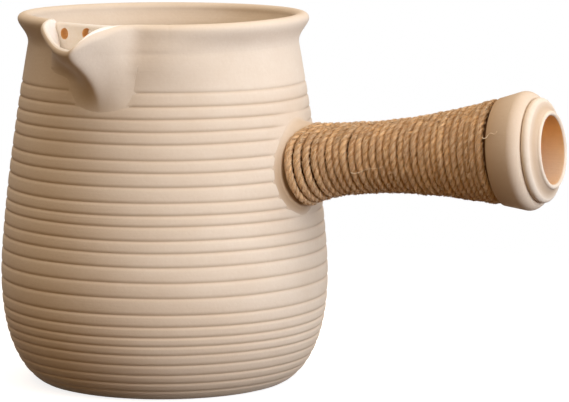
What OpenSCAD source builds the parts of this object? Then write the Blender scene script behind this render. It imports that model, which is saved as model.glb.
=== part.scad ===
// Side-handled clay kettle: an open vessel with a pinched spout over a strainer screen,
// and a hollow flared handle wound with twine. Millimetres, +Z up.
// The origin is the middle of the base. The handle points along +X and the spout along -Y.

/* [Vessel] */
// Height of the vessel at the top of its rim
vessel_h = 124; // [112:1:145]
// Diameter of the flat base
base_d = 81; // [66:1:94]
// Diameter of the belly, the widest part
belly_d = 110; // [100:1:125]
// Height of the belly above the base
belly_h = 38; // [28:1:50]
// Diameter of the neck
neck_d = 90.6; // [84:0.2:96]
// How far the neck lies below the top of the rim
neck_drop = 10; // [8.5:0.5:14]
// Diameter of the rim
rim_d = 97.4; // [94:0.2:104]
// Width of the rolled lip on the rim
lip_w = 4.8; // [4:0.2:6]
// Height of the round on the rolled lip
lip_h = 1.9; // [1.2:0.1:2.6]
// Thickness of the wall
wall_t = 4; // [3:0.25:5]
// Thickness of the floor
floor_t = 5; // [3.5:0.5:8]

/* [Turning grooves] */
// Depth of each turned groove
groove_depth = 0.45; // [0.2:0.05:0.8]
// Width of each turned groove at the surface
groove_w = 1.5; // [0.8:0.1:2.2]
// How far the top groove lies below the neck
groove_start = 12.6; // [10:0.2:18]
// Step from groove to groove on the upper wall
groove_pitch = 4.41; // [3.6:0.01:6]
// Height below which the grooves lie closer together
heel_h = 30; // [24:1:40]
// Step from groove to groove near the base
heel_pitch = 3.4; // [2.8:0.1:4.4]

/* [Spout and strainer] */
// Reach of the spout's tip from the vessel's axis
tip_reach = 71.5; // [62:0.5:82]
// How far the lip dips from the rim to the tip
tip_dip = 7; // [4:0.2:10]
// Half of the angle that the spout takes up on the rim
spout_half_angle = 25; // [22:1:30]
// How far the foot of the spout's keel lies below the rim
keel_drop = 32; // [26:1:38]
// Thickness of the spout's wall where it meets the vessel
spout_t = 3.6; // [2.8:0.2:4.4]
// Thickness of the spout's wall at its lip
spout_lip_t = 2.4; // [1.8:0.1:3]
// How far the strainer's window reaches below the rim
window_drop = 16; // [15:0.5:20]
// How far the screen's face stands out from the neck
screen_proud = 0.6; // [0.2:0.1:1.2]
// Least thickness of the screen, at its top
screen_t = 2; // [1.4:0.1:3]
// Diameter of each strainer hole
hole_d = 4; // [2.5:0.1:5]
// How far the top row of strainer holes lies below the rim
hole_drop = 4.2; // [3.8:0.1:5]
// Step between rows of strainer holes
hole_row_step = 7; // [5.4:0.1:7]
// Step between strainer holes round the neck, in degrees
hole_step_angle = 12.3; // [9:0.1:15]

/* [Handle] */
// Height at which the handle's axis crosses the vessel's axis
handle_h = 72; // [62:1:82]
// Upward tilt of the handle, in degrees
handle_tilt = 5; // [0:0.5:12]
// Length of the handle from the wall to its open end
handle_len = 87.6; // [78:0.2:110]
// Diameter of the wound grip where it meets the wall
root_d = 27.4; // [27:0.2:34]
// Diameter of the wound grip at its waist
waist_d = 23.4; // [22:0.2:27]
// Distance of the waist from the wall
waist_at = 25; // [18:1:34]
// Diameter of the flange where the flare ends
flange_d = 40.2; // [35:0.2:46]
// Radius of the round on the flange's edge
flange_round = 3.2; // [1.5:0.1:3.2]
// Thickness of the tube's wall
tube_t = 3.5; // [2.6:0.1:4.5]
// Diameter of the tube's socket for the end ring
socket_d = 27; // [25:0.5:29]
// Outer diameter of the clay collar where it lies on the wall
collar_d = 34; // [32:0.5:42]
// Height of the collar above the wall
collar_h = 2.6; // [1.5:0.1:3]

/* [End ring] */
// Length of the end ring outside the tube
ring_len = 5; // [4:0.2:8]
// Diameter of the bead on the end ring
bead_d = 33.4; // [31:0.2:35]
// Width of the bead
bead_w = 2; // [1.4:0.1:2.4]
// Diameter of the lip round the open end
ring_lip_d = 25; // [24:0.2:27]
// Diameter of the open end
ring_bore_d = 22; // [18:0.2:22.6]
// Length of the ring's spigot inside the tube
spigot_len = 5; // [3:0.2:8]

/* [Twine] */
// Diameter of the twine
twine_d = 2.25; // [1.8:0.05:2.6]
// Gap between one turn of twine and the next
twine_gap = 0.45; // [0.45:0.05:1]
// Width of the bare clay between the twine and the flange
bare_w = 9.2; // [6:0.2:16]
// Most turns that the winding has
most_turns = 24; // [12:1:24]

/* [Fits] */
// Gap that the luting clay leaves between one piece and the next
luting_gap = 0.15; // [0.1:0.05:0.3]
// Gap between the twine and the clay that it is wound on
twine_seat_gap = 0.12; // [0.1:0.02:0.3]

/* [Hidden] */
$fn = 96;

clay_colour = "#E6D3BC";
screen_colour = "#DCC8B0";
collar_colour = "#E0CCB4";
ring_colour = "#E9D8C3";
twine_colour = "#B98A57";

// A cut runs this far past the faces that it opens
cut_over = 5;

// The vessel's radii, and the heights that its outline turns at
base_r = base_d / 2;
belly_r = belly_d / 2;
neck_r = neck_d / 2;
rim_r = rim_d / 2;
neck_h = vessel_h - neck_drop;
lip_base_h = vessel_h - lip_h;
inner_lip_r = rim_r - lip_w;

// Powers that give the heel its round turn and the shoulder its slow fall to the neck
heel_rise = 2.5;
heel_round = 1.55;
shoulder_fall = 1.38;

// Power that holds the flare back near the neck
flare_ease = 1.25;

// Numbers of steps along the smooth stretches
foot_steps = 3;
wall_steps = 12;
core_steps = 24;
flare_steps = 8;
lip_steps = 8;

function mix(a, b, t) = a + (b - a) * t;
function bezier(p0, p1, p2, p3, t) =
    pow(1 - t, 3) * p0 + 3 * pow(1 - t, 2) * t * p1 + 3 * (1 - t) * t * t * p2 + pow(t, 3) * p3;

// Radius of the round heel at a height, between a bottom edge and the belly
function heel_r(z, bottom_z, bottom_r, top_r) =
    bottom_r + (top_r - bottom_r)
        * pow(1 - pow(1 - (z - bottom_z) / (belly_h - bottom_z), heel_rise), 1 / heel_round);
// Radius of the shoulder at a height, from the belly up to the neck
function shoulder_r(z, low_r, high_r) =
    low_r - (low_r - high_r) * pow((z - belly_h) / (neck_h - belly_h), shoulder_fall);
// Radius of the flare at a height, from the neck up to the lip
function flare_r(z, low_r, high_r) =
    let (w = pow((z - neck_h) / (lip_base_h - neck_h), flare_ease))
    low_r + (high_r - low_r) * w * w * (3 - 2 * w);
// Outer radius of the smooth wall at a height
function vessel_r(z) =
    z < belly_h ? heel_r(max(z, 0), 0, base_r, belly_r)
    : z < neck_h ? shoulder_r(z, belly_r, neck_r)
    : flare_r(min(z, lip_base_h), neck_r, rim_r);
// Inner radius of the wall at a height
function inside_r(z) =
    z < belly_h ? heel_r(max(z, floor_t), floor_t, base_r - wall_t, belly_r - wall_t)
    : z < neck_h ? shoulder_r(z, belly_r - wall_t, neck_r - wall_t)
    : flare_r(min(z, lip_base_h), neck_r - wall_t, inner_lip_r);

// Grooves at an even step on the upper wall, then closer together down to the foot
foot_margin = 3;
top_groove_h = neck_h - groove_start;
upper_grooves = floor((top_groove_h - heel_h) / groove_pitch) + 1;
last_upper_h = top_groove_h - (upper_grooves - 1) * groove_pitch;
heel_grooves = floor((last_upper_h - foot_margin) / heel_pitch);
groove_heights = concat(
    [for (i = [heel_grooves : -1 : 1]) last_upper_h - i * heel_pitch],
    [for (i = [upper_grooves - 1 : -1 : 0]) top_groove_h - i * groove_pitch]
);
function groove_points(z, next_z) = [
    [vessel_r(z - groove_w / 2), z - groove_w / 2],
    [vessel_r(z) - groove_depth, z],
    [vessel_r(z + groove_w / 2), z + groove_w / 2],
    [vessel_r((z + next_z) / 2), (z + next_z) / 2]
];
last_groove = len(groove_heights) - 1;
groove_foot_h = groove_heights[0] - groove_w / 2;
neck_band_h = (top_groove_h + neck_h) / 2;
grooved_wall = [
    for (i = [0 : last_groove])
        each groove_points(groove_heights[i], i < last_groove ? groove_heights[i + 1] : neck_band_h)
];

// The flare's points from the neck up its outside, or from the lip down its inside
function flare_points(inside) = [
    for (i = [0 : flare_steps])
        let (z = mix(neck_h, lip_base_h, (inside ? flare_steps - i : i) / flare_steps))
        [inside ? inside_r(z) : vessel_r(z), z]
];
lip_centre = [rim_r - lip_w / 2, lip_base_h];
vessel_outline = concat(
    [[0, 0]],
    [for (i = [0 : foot_steps - 1]) let (z = groove_foot_h * i / foot_steps) [vessel_r(z), z]],
    grooved_wall,
    flare_points(false),
    [for (i = [1 : lip_steps - 1])
        lip_centre + [cos(180 * i / lip_steps) * lip_w / 2, sin(180 * i / lip_steps) * lip_h]],
    flare_points(true),
    [for (i = [1 : wall_steps - 1]) let (z = mix(neck_h, belly_h, i / wall_steps)) [inside_r(z), z]],
    [for (i = [0 : wall_steps]) let (z = mix(belly_h, floor_t, i / wall_steps)) [inside_r(z), z]],
    [[0, floor_t]]
);

// The strainer's window in the neck, and the screen that fills it
window_h = vessel_h - window_drop;
screen_r = neck_r + screen_proud;
gap_angle = luting_gap / neck_r * 180 / PI;
screen_top_h = vessel_h - lip_h / 2;
screen_steps = 4;
screen_top_steps = 3;
screen_low_h = window_h + luting_gap;
function face_r(z) = max(vessel_r(min(z, neck_h)), screen_r);
function screen_back_r(z) = min(inside_r(z), screen_r - screen_t);
screen_outline = concat(
    [for (i = [0 : screen_steps]) let (z = mix(screen_low_h, neck_h, i / screen_steps)) [face_r(z), z]],
    [[screen_r, lip_base_h]],
    [for (i = [1 : screen_top_steps - 1]) [screen_r - screen_t * i / screen_top_steps, screen_top_h]],
    [for (p = flare_points(true)) [screen_back_r(p.y), p.y]],
    [[screen_back_r(screen_low_h), screen_low_h]]
);
// As many rows of holes as the screen takes, each with one hole fewer than the row above it
hole_margin = 1;
hole_edge = hole_d / 2 + hole_margin;
hole_edge_angle = hole_edge / screen_r * 180 / PI;
top_row_holes = floor(2 * (spout_half_angle - gap_angle - hole_edge_angle) / hole_step_angle) + 1;
hole_rows = floor((window_drop - hole_drop - hole_edge) / hole_row_step) + 1;

// Powers that shape the spout's plan, its dipping lip and its blend into the rim
plan_power = 2;
dip_power = 18;
blend_power = 2;
cling_power = 4;
// Steps round the spout, which crowd towards the tip, and along each of its faces
spout_steps = 22;
crowd_power = 1.6;
keel_steps = 12;
edge_steps = 6;
// Thickness of the spout's edge where it lies on the wall, and its reach below the window
foot_edge_t = 0.6;
window_cover = 1;
// Slope of the spout's wall at its lip, in degrees, in the middle and at the ends on the rim
tip_slope = 4;
rim_slope = 90;
// Shares of the way from foot to lip at which the wall turns, in the middle and at the ends on the rim
keel_foot_pull = [0.05, 0.5];
rim_foot_pull = [0.1, 0.3];
keel_lip_pull = 0.58;
rim_lip_pull = 0.4;
// Small turn used to measure the slope of the spout's plan, in degrees, and the share of it that counts
slope_turn = 0.05;
slope_share = 0.7;

keel_foot_h = vessel_h - keel_drop;
spout_end_foot_h = window_h - window_cover;

function spout_wave(a, power) = pow(cos(90 * min(abs(a) / spout_half_angle, 1)), power);
// Share of the way from the spout's middle to its ends, easy at both
function spout_share(a) = 1 - spout_wave(a, 2);
function spout_plan_r(a) = rim_r + (tip_reach - rim_r) * spout_wave(a, plan_power);
function spout_lip_z(a) = vessel_h - tip_dip * spout_wave(a, dip_power);
// How much longer the wall is across a section, where the plan runs askew to it
function spout_skew(a) =
    let (rise = (spout_plan_r(a + slope_turn) - spout_plan_r(a - slope_turn)) / (2 * slope_turn * PI / 180))
    mix(1, sqrt(1 + pow(rise / spout_plan_r(a), 2)), slope_share);
// Half of the lip's thickness, the height of its round, and the way that it faces
function spout_lip_half(a) = mix(spout_lip_t, spout_t, spout_share(a)) * spout_skew(a) / 2;
function spout_lip_round(a) = mix(spout_lip_t / 2, lip_h, spout_share(a));
function spout_lip_ahead(a) =
    let (slope = mix(tip_slope, rim_slope, spout_share(a))) [cos(slope), sin(slope)];
// Outer edge of the lip, set so that its round just reaches the plan's radius and the lip's height
function spout_lip(a) =
    let (ahead = spout_lip_ahead(a), half = spout_lip_half(a), bulge = spout_lip_round(a))
    [spout_plan_r(a) + ahead.y * half - norm([ahead.y * half, ahead.x * bulge]),
     spout_lip_z(a) - ahead.x * half - norm([ahead.x * half, ahead.y * bulge])];
// Points up the outside of the spout, in the upright half-plane at an angle from its middle
function spout_outside(a) =
    let (
        share = spout_share(a),
        foot_z = mix(keel_foot_h, spout_end_foot_h, share),
        foot = [face_r(foot_z) + luting_gap + foot_edge_t, foot_z],
        lip = spout_lip(a),
        run = lip - foot,
        foot_pull = mix(keel_foot_pull, rim_foot_pull, share),
        lip_pull = spout_lip_ahead(a) * norm(run) * mix(keel_lip_pull, rim_lip_pull, share)
    )
    [for (i = [0 : keel_steps])
        let (
            t = i / keel_steps,
            z = mix(foot_z, lip.y, t),
            cling = [mix(vessel_r(z) + luting_gap + foot_edge_t, lip.x, pow(t, cling_power)), z],
            sweep = bezier(foot, foot + [run.x * foot_pull.x, run.y * foot_pull.y], lip - lip_pull, lip, t)
        )
        mix(sweep, cling, pow(share, blend_power))];
// Unit step along a row of points at one of them
function heading(points, i) =
    let (step = points[min(i + 1, len(points) - 1)] - points[max(i - 1, 0)]) step / norm(step);
// Closed outline of the spout at an angle: up the outside, over the lip and down the inside to the wall
function spout_section(a) =
    let (
        outside = spout_outside(a),
        lip_ahead = spout_lip_ahead(a),
        inside = [
            for (i = [0 : keel_steps])
                let (
                    ahead = i < keel_steps ? heading(outside, i) : lip_ahead,
                    thick = mix(spout_t * spout_skew(a), 2 * spout_lip_half(a), i / keel_steps),
                    p = outside[i] + [-ahead.y, ahead.x] * thick
                )
                [max(p.x, face_r(p.y) + luting_gap), p.y]
        ],
        middle = (outside[keel_steps] + inside[keel_steps]) / 2,
        half = outside[keel_steps] - middle,
        bulge = lip_ahead * spout_lip_round(a)
    )
    concat(
        outside,
        [for (i = [1 : edge_steps - 1])
            let (turn = 180 * i / edge_steps) middle + half * cos(turn) + bulge * sin(turn)],
        [for (i = [keel_steps : -1 : 0]) inside[i]]
    );
// The spout's sections swing from one end on the rim to the other
spout_end_angle = spout_half_angle - gap_angle;
spout_angles = [
    for (i = [-spout_steps : spout_steps]) sign(i) * spout_end_angle * pow(abs(i) / spout_steps, crowd_power)
];
spout_sections = [for (a = spout_angles) spout_section(a)];

// The handle's stations along its axis, counted from the vessel's axis
wall_at = vessel_r(handle_h);
handle_end = wall_at + handle_len;
tube_end = handle_end - ring_len;
shoulder_at = tube_end - flange_round - bare_w;
collar_face = wall_at + collar_h;
root_inside = wall_at - wall_t;
waist_pos = wall_at + waist_at;
root_power = 2.6;
flare_power = 1.75;
grip_steps = 9;
// Radius of the wound grip, outside the twine, at a station along the axis
function grip_r(u) =
    u < waist_pos
        ? waist_d / 2 + (root_d - waist_d) / 2 * pow((waist_pos - u) / waist_at, root_power)
        : waist_d / 2 + (flange_d - waist_d) / 2 * pow((u - waist_pos) / (tube_end - waist_pos), flare_power);
function seat_r(u) = grip_r(u) - twine_d;
// The tube's hollow follows the seat, and ends in a socket for the ring's spigot
socket_r = socket_d / 2;
socket_floor = tube_end - spigot_len - luting_gap;
flange_arc_at = tube_end - flange_round;
flange_steps = 6;
tube_outline = concat(
    [for (i = [0 : grip_steps]) let (u = mix(root_inside, waist_pos, i / grip_steps)) [seat_r(u), u]],
    [for (i = [1 : grip_steps]) let (u = mix(waist_pos, shoulder_at, i / grip_steps)) [seat_r(u), u]],
    [for (i = [0 : flange_steps]) let (u = mix(shoulder_at, flange_arc_at, i / flange_steps)) [grip_r(u), u]],
    [for (i = [1 : flange_steps])
        let (turn = 90 * i / flange_steps)
        [grip_r(flange_arc_at) - flange_round * (1 - cos(turn)), flange_arc_at + flange_round * sin(turn)]],
    [[socket_r, tube_end], [socket_r, socket_floor]],
    [for (i = [0 : grip_steps])
        let (u = mix(socket_floor, root_inside, i / grip_steps)) [seat_r(u) - tube_t, u]]
);

// The collar is a concave fillet from the wall up to the twine's first turn
collar_top_r = grip_r(collar_face);
collar_steps = 6;
collar_outline = concat(
    [[collar_d / 2, root_inside]],
    [for (i = [0 : collar_steps])
        let (turn = 90 * i / collar_steps)
        [collar_d / 2 - (collar_d / 2 - collar_top_r) * sin(turn), collar_face - collar_h * cos(turn)]],
    [for (i = [0 : collar_steps])
        let (u = mix(collar_face, root_inside, i / collar_steps)) [seat_r(u) + luting_gap, u]]
);

// The end ring: spigot, bead, sloping face, lip and open bore
ring_foot = tube_end + luting_gap;
spigot_r = socket_r - luting_gap;
bead_round = bead_w / 2;
bead_steps = 6;
lip_round = (ring_lip_d - ring_bore_d) / 4;
ring_slope_w = 1.4;
ring_outline = concat(
    [[ring_bore_d / 2, tube_end - spigot_len], [spigot_r, tube_end - spigot_len], [spigot_r, ring_foot]],
    [for (i = [0 : bead_steps])
        let (turn = 90 - 180 * i / bead_steps)
        [bead_d / 2 - bead_round + bead_round * cos(turn), ring_foot + bead_round - bead_round * sin(turn)]],
    [[ring_lip_d / 2 + ring_slope_w, handle_end - ring_slope_w], [ring_lip_d / 2, handle_end - lip_round]],
    [for (i = [1 : bead_steps])
        let (turn = 180 * i / bead_steps)
        [ring_lip_d / 2 - lip_round + lip_round * cos(turn), handle_end - lip_round + lip_round * sin(turn)]]
);

// The winding: one unbroken tube with rings of points along a coil that follows the grip
turn_rings = 24;
twine_sides = 6;
twine_r = twine_d / 2;
wind_start = collar_face + twine_r + twine_seat_gap;
wind_end = shoulder_at - twine_r - twine_seat_gap;
wind_turns = min(most_turns, floor((wind_end - wind_start) / (twine_d + twine_gap)));
wind_rings = wind_turns * turn_rings;
// Ring centres stand out far enough for the straight runs between them to clear the seat
function wind_centre_r(u) = (seat_r(u) + twine_seat_gap + twine_r) / cos(180 / turn_rings);
function wind_point(i) =
    let (turn = 360 * i / turn_rings, u = mix(wind_start, wind_end, i / wind_rings), r = wind_centre_r(u))
    [r * cos(turn), r * sin(turn), u];
wind_coil = [for (i = [0 : wind_rings]) wind_point(i)];
// Each end runs on straight for one diameter of the twine
function run_on(from, to) = to + (to - from) / norm(to - from) * twine_d;
wind_path = concat([run_on(wind_coil[1], wind_coil[0])], wind_coil,
                   [run_on(wind_coil[wind_rings - 1], wind_coil[wind_rings])]);
wind_last = len(wind_path) - 1;
function wind_ring(i) =
    let (
        along = wind_path[min(i + 1, wind_last)] - wind_path[max(i - 1, 0)],
        ahead = along / norm(along),
        spoke = [wind_path[i].x, wind_path[i].y, 0],
        lean = spoke - ahead * (spoke * ahead),
        out = lean / norm(lean),
        side = cross(ahead, out)
    )
    [for (k = [0 : twine_sides - 1])
        wind_path[i] + (out * cos(360 * k / twine_sides) + side * sin(360 * k / twine_sides)) * twine_r];
wind_rings_points = [for (i = [0 : wind_last]) each wind_ring(i)];
function wind_corner(i, k) = i * twine_sides + k % twine_sides;
wind_faces = concat(
    [for (i = [0 : wind_last - 1], k = [0 : twine_sides - 1], half = [0, 1])
        half == 0 ? [wind_corner(i, k), wind_corner(i + 1, k + 1), wind_corner(i, k + 1)]
                  : [wind_corner(i, k), wind_corner(i + 1, k), wind_corner(i + 1, k + 1)]],
    [for (k = [1 : twine_sides - 2]) [wind_corner(0, 0), wind_corner(0, k), wind_corner(0, k + 1)]],
    [for (k = [1 : twine_sides - 2])
        [wind_corner(wind_last, 0), wind_corner(wind_last, k + 1), wind_corner(wind_last, k)]]
);
// Least gap between one turn and the next, measured between the points of the path
near_rings = 4;
turn_gaps = [
    for (i = [0 : wind_last], j = [-near_rings : near_rings])
        let (other = i + turn_rings + j)
        if (other <= wind_last) norm(wind_path[other] - wind_path[i]) - twine_d
];
echo(turns = wind_turns, least_twine_gap = min(turn_gaps));

module place_on_handle() {
    translate([0, 0, handle_h]) rotate([0, 90 - handle_tilt, 0]) children();
}

module turn_to_spout(a = 0) {
    rotate([0, 0, a - 90]) children();
}

// Solid inside the smooth wall, with the luting gap round it, for cutting what lies on the wall
module wall_core() {
    rotate_extrude() polygon(concat(
        [[0, 0], [0, neck_h]],
        [for (i = [0 : core_steps]) let (z = mix(neck_h, 0, i / core_steps)) [vessel_r(z) + luting_gap, z]]
    ));
}

module vessel() {
    color(clay_colour) difference() {
        rotate_extrude() polygon(vessel_outline);
        turn_to_spout(-spout_half_angle) rotate_extrude(angle = 2 * spout_half_angle)
            translate([neck_r - wall_t - cut_over, window_h])
                square([rim_r - neck_r + wall_t + 2 * cut_over, window_drop + cut_over]);
    }
}

module strainer_screen() {
    color(screen_colour) difference() {
        turn_to_spout(-spout_end_angle) rotate_extrude(angle = 2 * spout_end_angle) polygon(screen_outline);
        for (row = [0 : hole_rows - 1], i = [row : top_row_holes - 1])
            turn_to_spout((i - (top_row_holes + row - 1) / 2) * hole_step_angle)
                translate([neck_r - wall_t - cut_over, 0, vessel_h - hole_drop - row * hole_row_step])
                    rotate([0, 90, 0]) cylinder(d = hole_d, h = wall_t + 2 * cut_over);
    }
}

module spout() {
    sides = len(spout_sections[0]);
    last = len(spout_sections) - 1;
    points = [
        for (i = [0 : last], p = spout_sections[i])
            let (a = spout_angles[i] - 90) [p.x * cos(a), p.x * sin(a), p.y]
    ];
    faces = concat(
        [for (i = [0 : last - 1], k = [0 : sides - 1], half = [0, 1])
            let (a = i * sides + k, b = i * sides + (k + 1) % sides)
            half == 0 ? [a, b + sides, a + sides] : [a, b, b + sides]],
        [[for (k = [sides - 1 : -1 : 0]) k], [for (k = [0 : sides - 1]) last * sides + k]]
    );
    color(clay_colour) polyhedron(points, faces);
}

module handle_collar() {
    color(collar_colour) difference() {
        place_on_handle() rotate_extrude() polygon(collar_outline);
        wall_core();
    }
}

module handle_tube() {
    color(clay_colour) difference() {
        place_on_handle() rotate_extrude() polygon(tube_outline);
        wall_core();
    }
}

module handle_end_ring() {
    color(ring_colour) place_on_handle() rotate_extrude() polygon(ring_outline);
}

module twine_wrap() {
    color(twine_colour) place_on_handle() polyhedron(wind_rings_points, wind_faces);
}

vessel();
strainer_screen();
spout();
handle_collar();
handle_tube();
handle_end_ring();
twine_wrap();
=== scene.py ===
"""Looks of a side-handled clay kettle, laid out as an add-on: turned clay pieces and a wound jute grip."""
import math

import bmesh
import bpy
import numpy as np
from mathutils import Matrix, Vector


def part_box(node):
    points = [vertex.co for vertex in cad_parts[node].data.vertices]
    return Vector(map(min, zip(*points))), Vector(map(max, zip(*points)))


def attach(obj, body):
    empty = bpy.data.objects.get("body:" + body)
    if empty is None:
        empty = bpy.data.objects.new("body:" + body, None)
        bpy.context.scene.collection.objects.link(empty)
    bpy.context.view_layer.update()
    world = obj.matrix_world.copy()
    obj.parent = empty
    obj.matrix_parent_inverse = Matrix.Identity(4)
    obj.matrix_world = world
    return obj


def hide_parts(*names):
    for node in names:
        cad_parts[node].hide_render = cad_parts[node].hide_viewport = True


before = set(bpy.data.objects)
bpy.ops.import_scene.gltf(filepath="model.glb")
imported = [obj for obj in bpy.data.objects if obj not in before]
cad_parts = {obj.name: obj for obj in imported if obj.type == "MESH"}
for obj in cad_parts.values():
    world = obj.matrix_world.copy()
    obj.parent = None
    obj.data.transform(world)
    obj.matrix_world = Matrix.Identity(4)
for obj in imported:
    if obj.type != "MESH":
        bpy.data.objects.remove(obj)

bl_info = {
    "name": "Side-handled clay kettle",
    "version": (1, 0, 0),
    "blender": (4, 5, 0),
    "location": "View3D > Sidebar > Kettle",
    "description": "Builds the kettle's clay pieces, its wound grip and its stage",
    "category": "Object",
}

MM = 0.001
DEGREE = math.pi / 180
BODY = "root"
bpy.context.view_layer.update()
VESSEL_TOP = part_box("vessel")[1]
SPOUT_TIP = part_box("spout")[0]

# Columns of points round the handle's pieces, and sides of a loose fibre
HANDLE_COLUMNS = 160
FIBRE_SIDES = 3

# Heights of the turned grooves above the base, from the top down, in millimetres
GROOVE_HEIGHTS = (101, 96.5, 92.5, 88.5, 84.5, 79.5, 75.5, 71, 66, 62, 58.5, 54,
                  50, 45.5, 40.5, 35.5, 30, 26, 22.5, 19.5, 16.5, 13, 9.5, 6.5, 3.5)

# How far each strainer hole lies above or below its row, by row and from the far side, in millimetres
HOLE_LIFTS = ((-0.8, -0.4, 0.8, 0.3), (0.2, -0.3, 0.1))


def length(name, description, default):
    """A size in metres."""
    return bpy.props.FloatProperty(name=name, description=description, default=default,
                                   unit="LENGTH", precision=5)


def angle(name, description, degrees):
    """An angle, given in degrees."""
    return bpy.props.FloatProperty(name=name, description=description, default=degrees * DEGREE,
                                   subtype="ANGLE")


def count(name, description, default):
    """A whole number of things."""
    return bpy.props.IntProperty(name=name, description=description, default=default, min=1)


def colour(name, description, default):
    """A linear colour."""
    return bpy.props.FloatVectorProperty(name=name, description=description, default=default,
                                         subtype="COLOR", size=3)


class KettleVesselSizes(bpy.types.PropertyGroup):
    """Sizes of the vessel and its turned grooves."""
    height: length("Height", "Height of the vessel at the top of its rim", VESSEL_TOP.z)
    belly_radius: length("Belly radius", "Radius of the widest part", VESSEL_TOP.x)
    belly_height: length("Belly height", "Height of the widest part above the base", 38 * MM)
    base_radius: length("Base radius", "Radius of the flat base", 40.5 * MM)
    neck_radius: length("Neck radius", "Radius of the neck", 45.3 * MM)
    neck_drop: length("Neck drop", "How far the neck lies below the rim", 10 * MM)
    rim_radius: length("Rim radius", "Outer radius of the rim", 48.7 * MM)
    lip_width: length("Lip width", "Width of the rolled lip", 4.8 * MM)
    lip_height: length("Lip height", "Height of the round on the rolled lip", 1.9 * MM)
    wall: length("Wall", "Thickness of the wall", 4 * MM)
    floor: length("Floor", "Thickness of the floor", 5 * MM)
    groove_depth: length("Groove depth", "Depth of a turned groove", 0.29 * MM)
    groove_width: length("Groove width", "Width of a turned groove at the surface", 1.7 * MM)
    band_swell: length("Band swell", "How far a band between two grooves swells", 0.1 * MM)
    rim_sag: length("Rim sag", "How far the rim sags beside the spout, on the handle's side", 1.05 * MM)


class KettleSpoutSizes(bpy.types.PropertyGroup):
    """Sizes of the spout and of the pierced screen behind it."""
    reach: length("Reach", "Reach of the tip from the vessel's axis", -SPOUT_TIP.y)
    dip: length("Dip", "How far the lip dips from the rim to the tip", 7.2 * MM)
    dip_turn: angle("Dip turn", "Where the lip dips most, from the spout's middle towards the handle", 1.1)
    dip_near: angle("Dip on the near side", "Angle over which the lip rises on the handle's side", 3.8)
    dip_far: angle("Dip on the far side", "Angle over which the lip rises on the other side", 14)
    tip_turn: angle("Tip turn", "Where the tip is, from the spout's middle towards the handle", 2.8)
    keel_lean: angle("Keel lean", "How far the keel's foot is turned beyond the tip, towards the handle", 2)
    half_angle: angle("Half angle", "Half of the angle that the spout takes up on the rim", 25)
    fill: length("Fill", "How far the neck is filled out beside the spout, on the handle's side", 3 * MM)
    fill_angle: angle("Fill angle", "Angle at which the filled neck ends", 62)
    keel_drop: length("Keel drop", "How far the keel's foot lies below the rim", 31 * MM)
    wall: length("Wall", "Thickness of the spout's wall", 2.3 * MM)
    tip_lip: length("Tip lip", "Thickness of the lip at the tip", 2.7 * MM)
    window_drop: length("Window drop", "How far the window behind the spout reaches below the rim", 16 * MM)
    screen_set: length("Screen set", "How far the screen's face is set in from the neck", 0.9 * MM)
    screen_top: length("Screen top", "Thickness of the screen at its top", 3.4 * MM)
    hole_width: length("Hole width", "Diameter of a strainer hole", 3.7 * MM)
    hole_drop: length("Hole drop", "How far the top row of holes lies below the rim", 4.2 * MM)
    hole_row_step: length("Hole row step", "Step between the rows of holes", 7 * MM)
    hole_step: angle("Hole step", "Step between holes round the neck", 12.3)
    hole_turn: angle("Hole turn", "How far the rows of holes are turned towards the handle", -0.3)


class KettleHandleSizes(bpy.types.PropertyGroup):
    """Sizes of the hollow handle, its collar and its end ring."""
    height: length("Height", "Height at which the handle's axis crosses the vessel's axis", 72 * MM)
    tilt: angle("Tilt", "Upward tilt of the handle", 5)
    length: length("Length", "Length of the handle from the wall to its open end", 87.6 * MM)
    root_radius: length("Root radius", "Radius of the wound grip at the wall", 12.4 * MM)
    waist_radius: length("Waist radius", "Radius of the wound grip at its waist", 11.7 * MM)
    waist_at: length("Waist at", "Distance of the waist from the wall", 25 * MM)
    under_swell: length("Under swell", "Extra radius under the grip at the wall", 5.8 * MM)
    flange_radius: length("Flange radius", "Radius of the flange where the flare ends", 20.1 * MM)
    flange_round: length("Flange round", "Radius of the round on the flange's edge", 3.6 * MM)
    tube_wall: length("Tube wall", "Thickness of the tube's wall", 3.5 * MM)
    bare_width: length("Bare width", "Width of bare clay between the twine and the flange", 8.2 * MM)
    collar_width: length("Collar width", "How far the collar spreads beyond the twine", 2.6 * MM)
    collar_height: length("Collar height", "Height of the collar beside and under the grip", 0.4 * MM)
    collar_rise: length("Collar rise", "How much higher the collar stands on top of the grip", 5.4 * MM)
    ring_length: length("Ring length", "Length of the end ring outside the tube", 5 * MM)
    bead_radius: length("Bead radius", "Outer radius of the bead on the end ring", 16.8 * MM)
    mouth_radius: length("Mouth radius", "Radius of the lip round the open end", 12.5 * MM)
    bore_radius: length("Bore radius", "Radius of the open end", 11 * MM)
    spigot: length("Spigot", "Length of the ring inside the tube", 5 * MM)
    socket_radius: length("Socket radius", "Radius of the tube's socket for the ring", 13.5 * MM)


class KettleTwineSizes(bpy.types.PropertyGroup):
    """Sizes of the twine and of its loose fibres."""
    width: length("Width", "Diameter of the twine", 2.46 * MM)
    turns: count("Turns", "Turns round the grip", 28)
    plies: count("Plies", "Yarns twisted into the twine", 3)
    lay: length("Lay", "Length of one twist of the yarns", 7.5 * MM)
    wander: length("Wander", "How far the turns stray from an even winding", 0.2 * MM)
    fibres: count("Fibres", "Short fibres that stand off the twine", 8600)
    fibre_length: length("Fibre length", "Usual length of a short fibre", 3 * MM)
    fibre_radius: length("Fibre radius", "Radius of a fibre at its root", 0.12 * MM)
    strays: count("Strays", "Long fibres that have come loose", 60)
    strand_radius: length("Strand radius", "Radius of the two strands that lie along the grip", 0.16 * MM)


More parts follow.
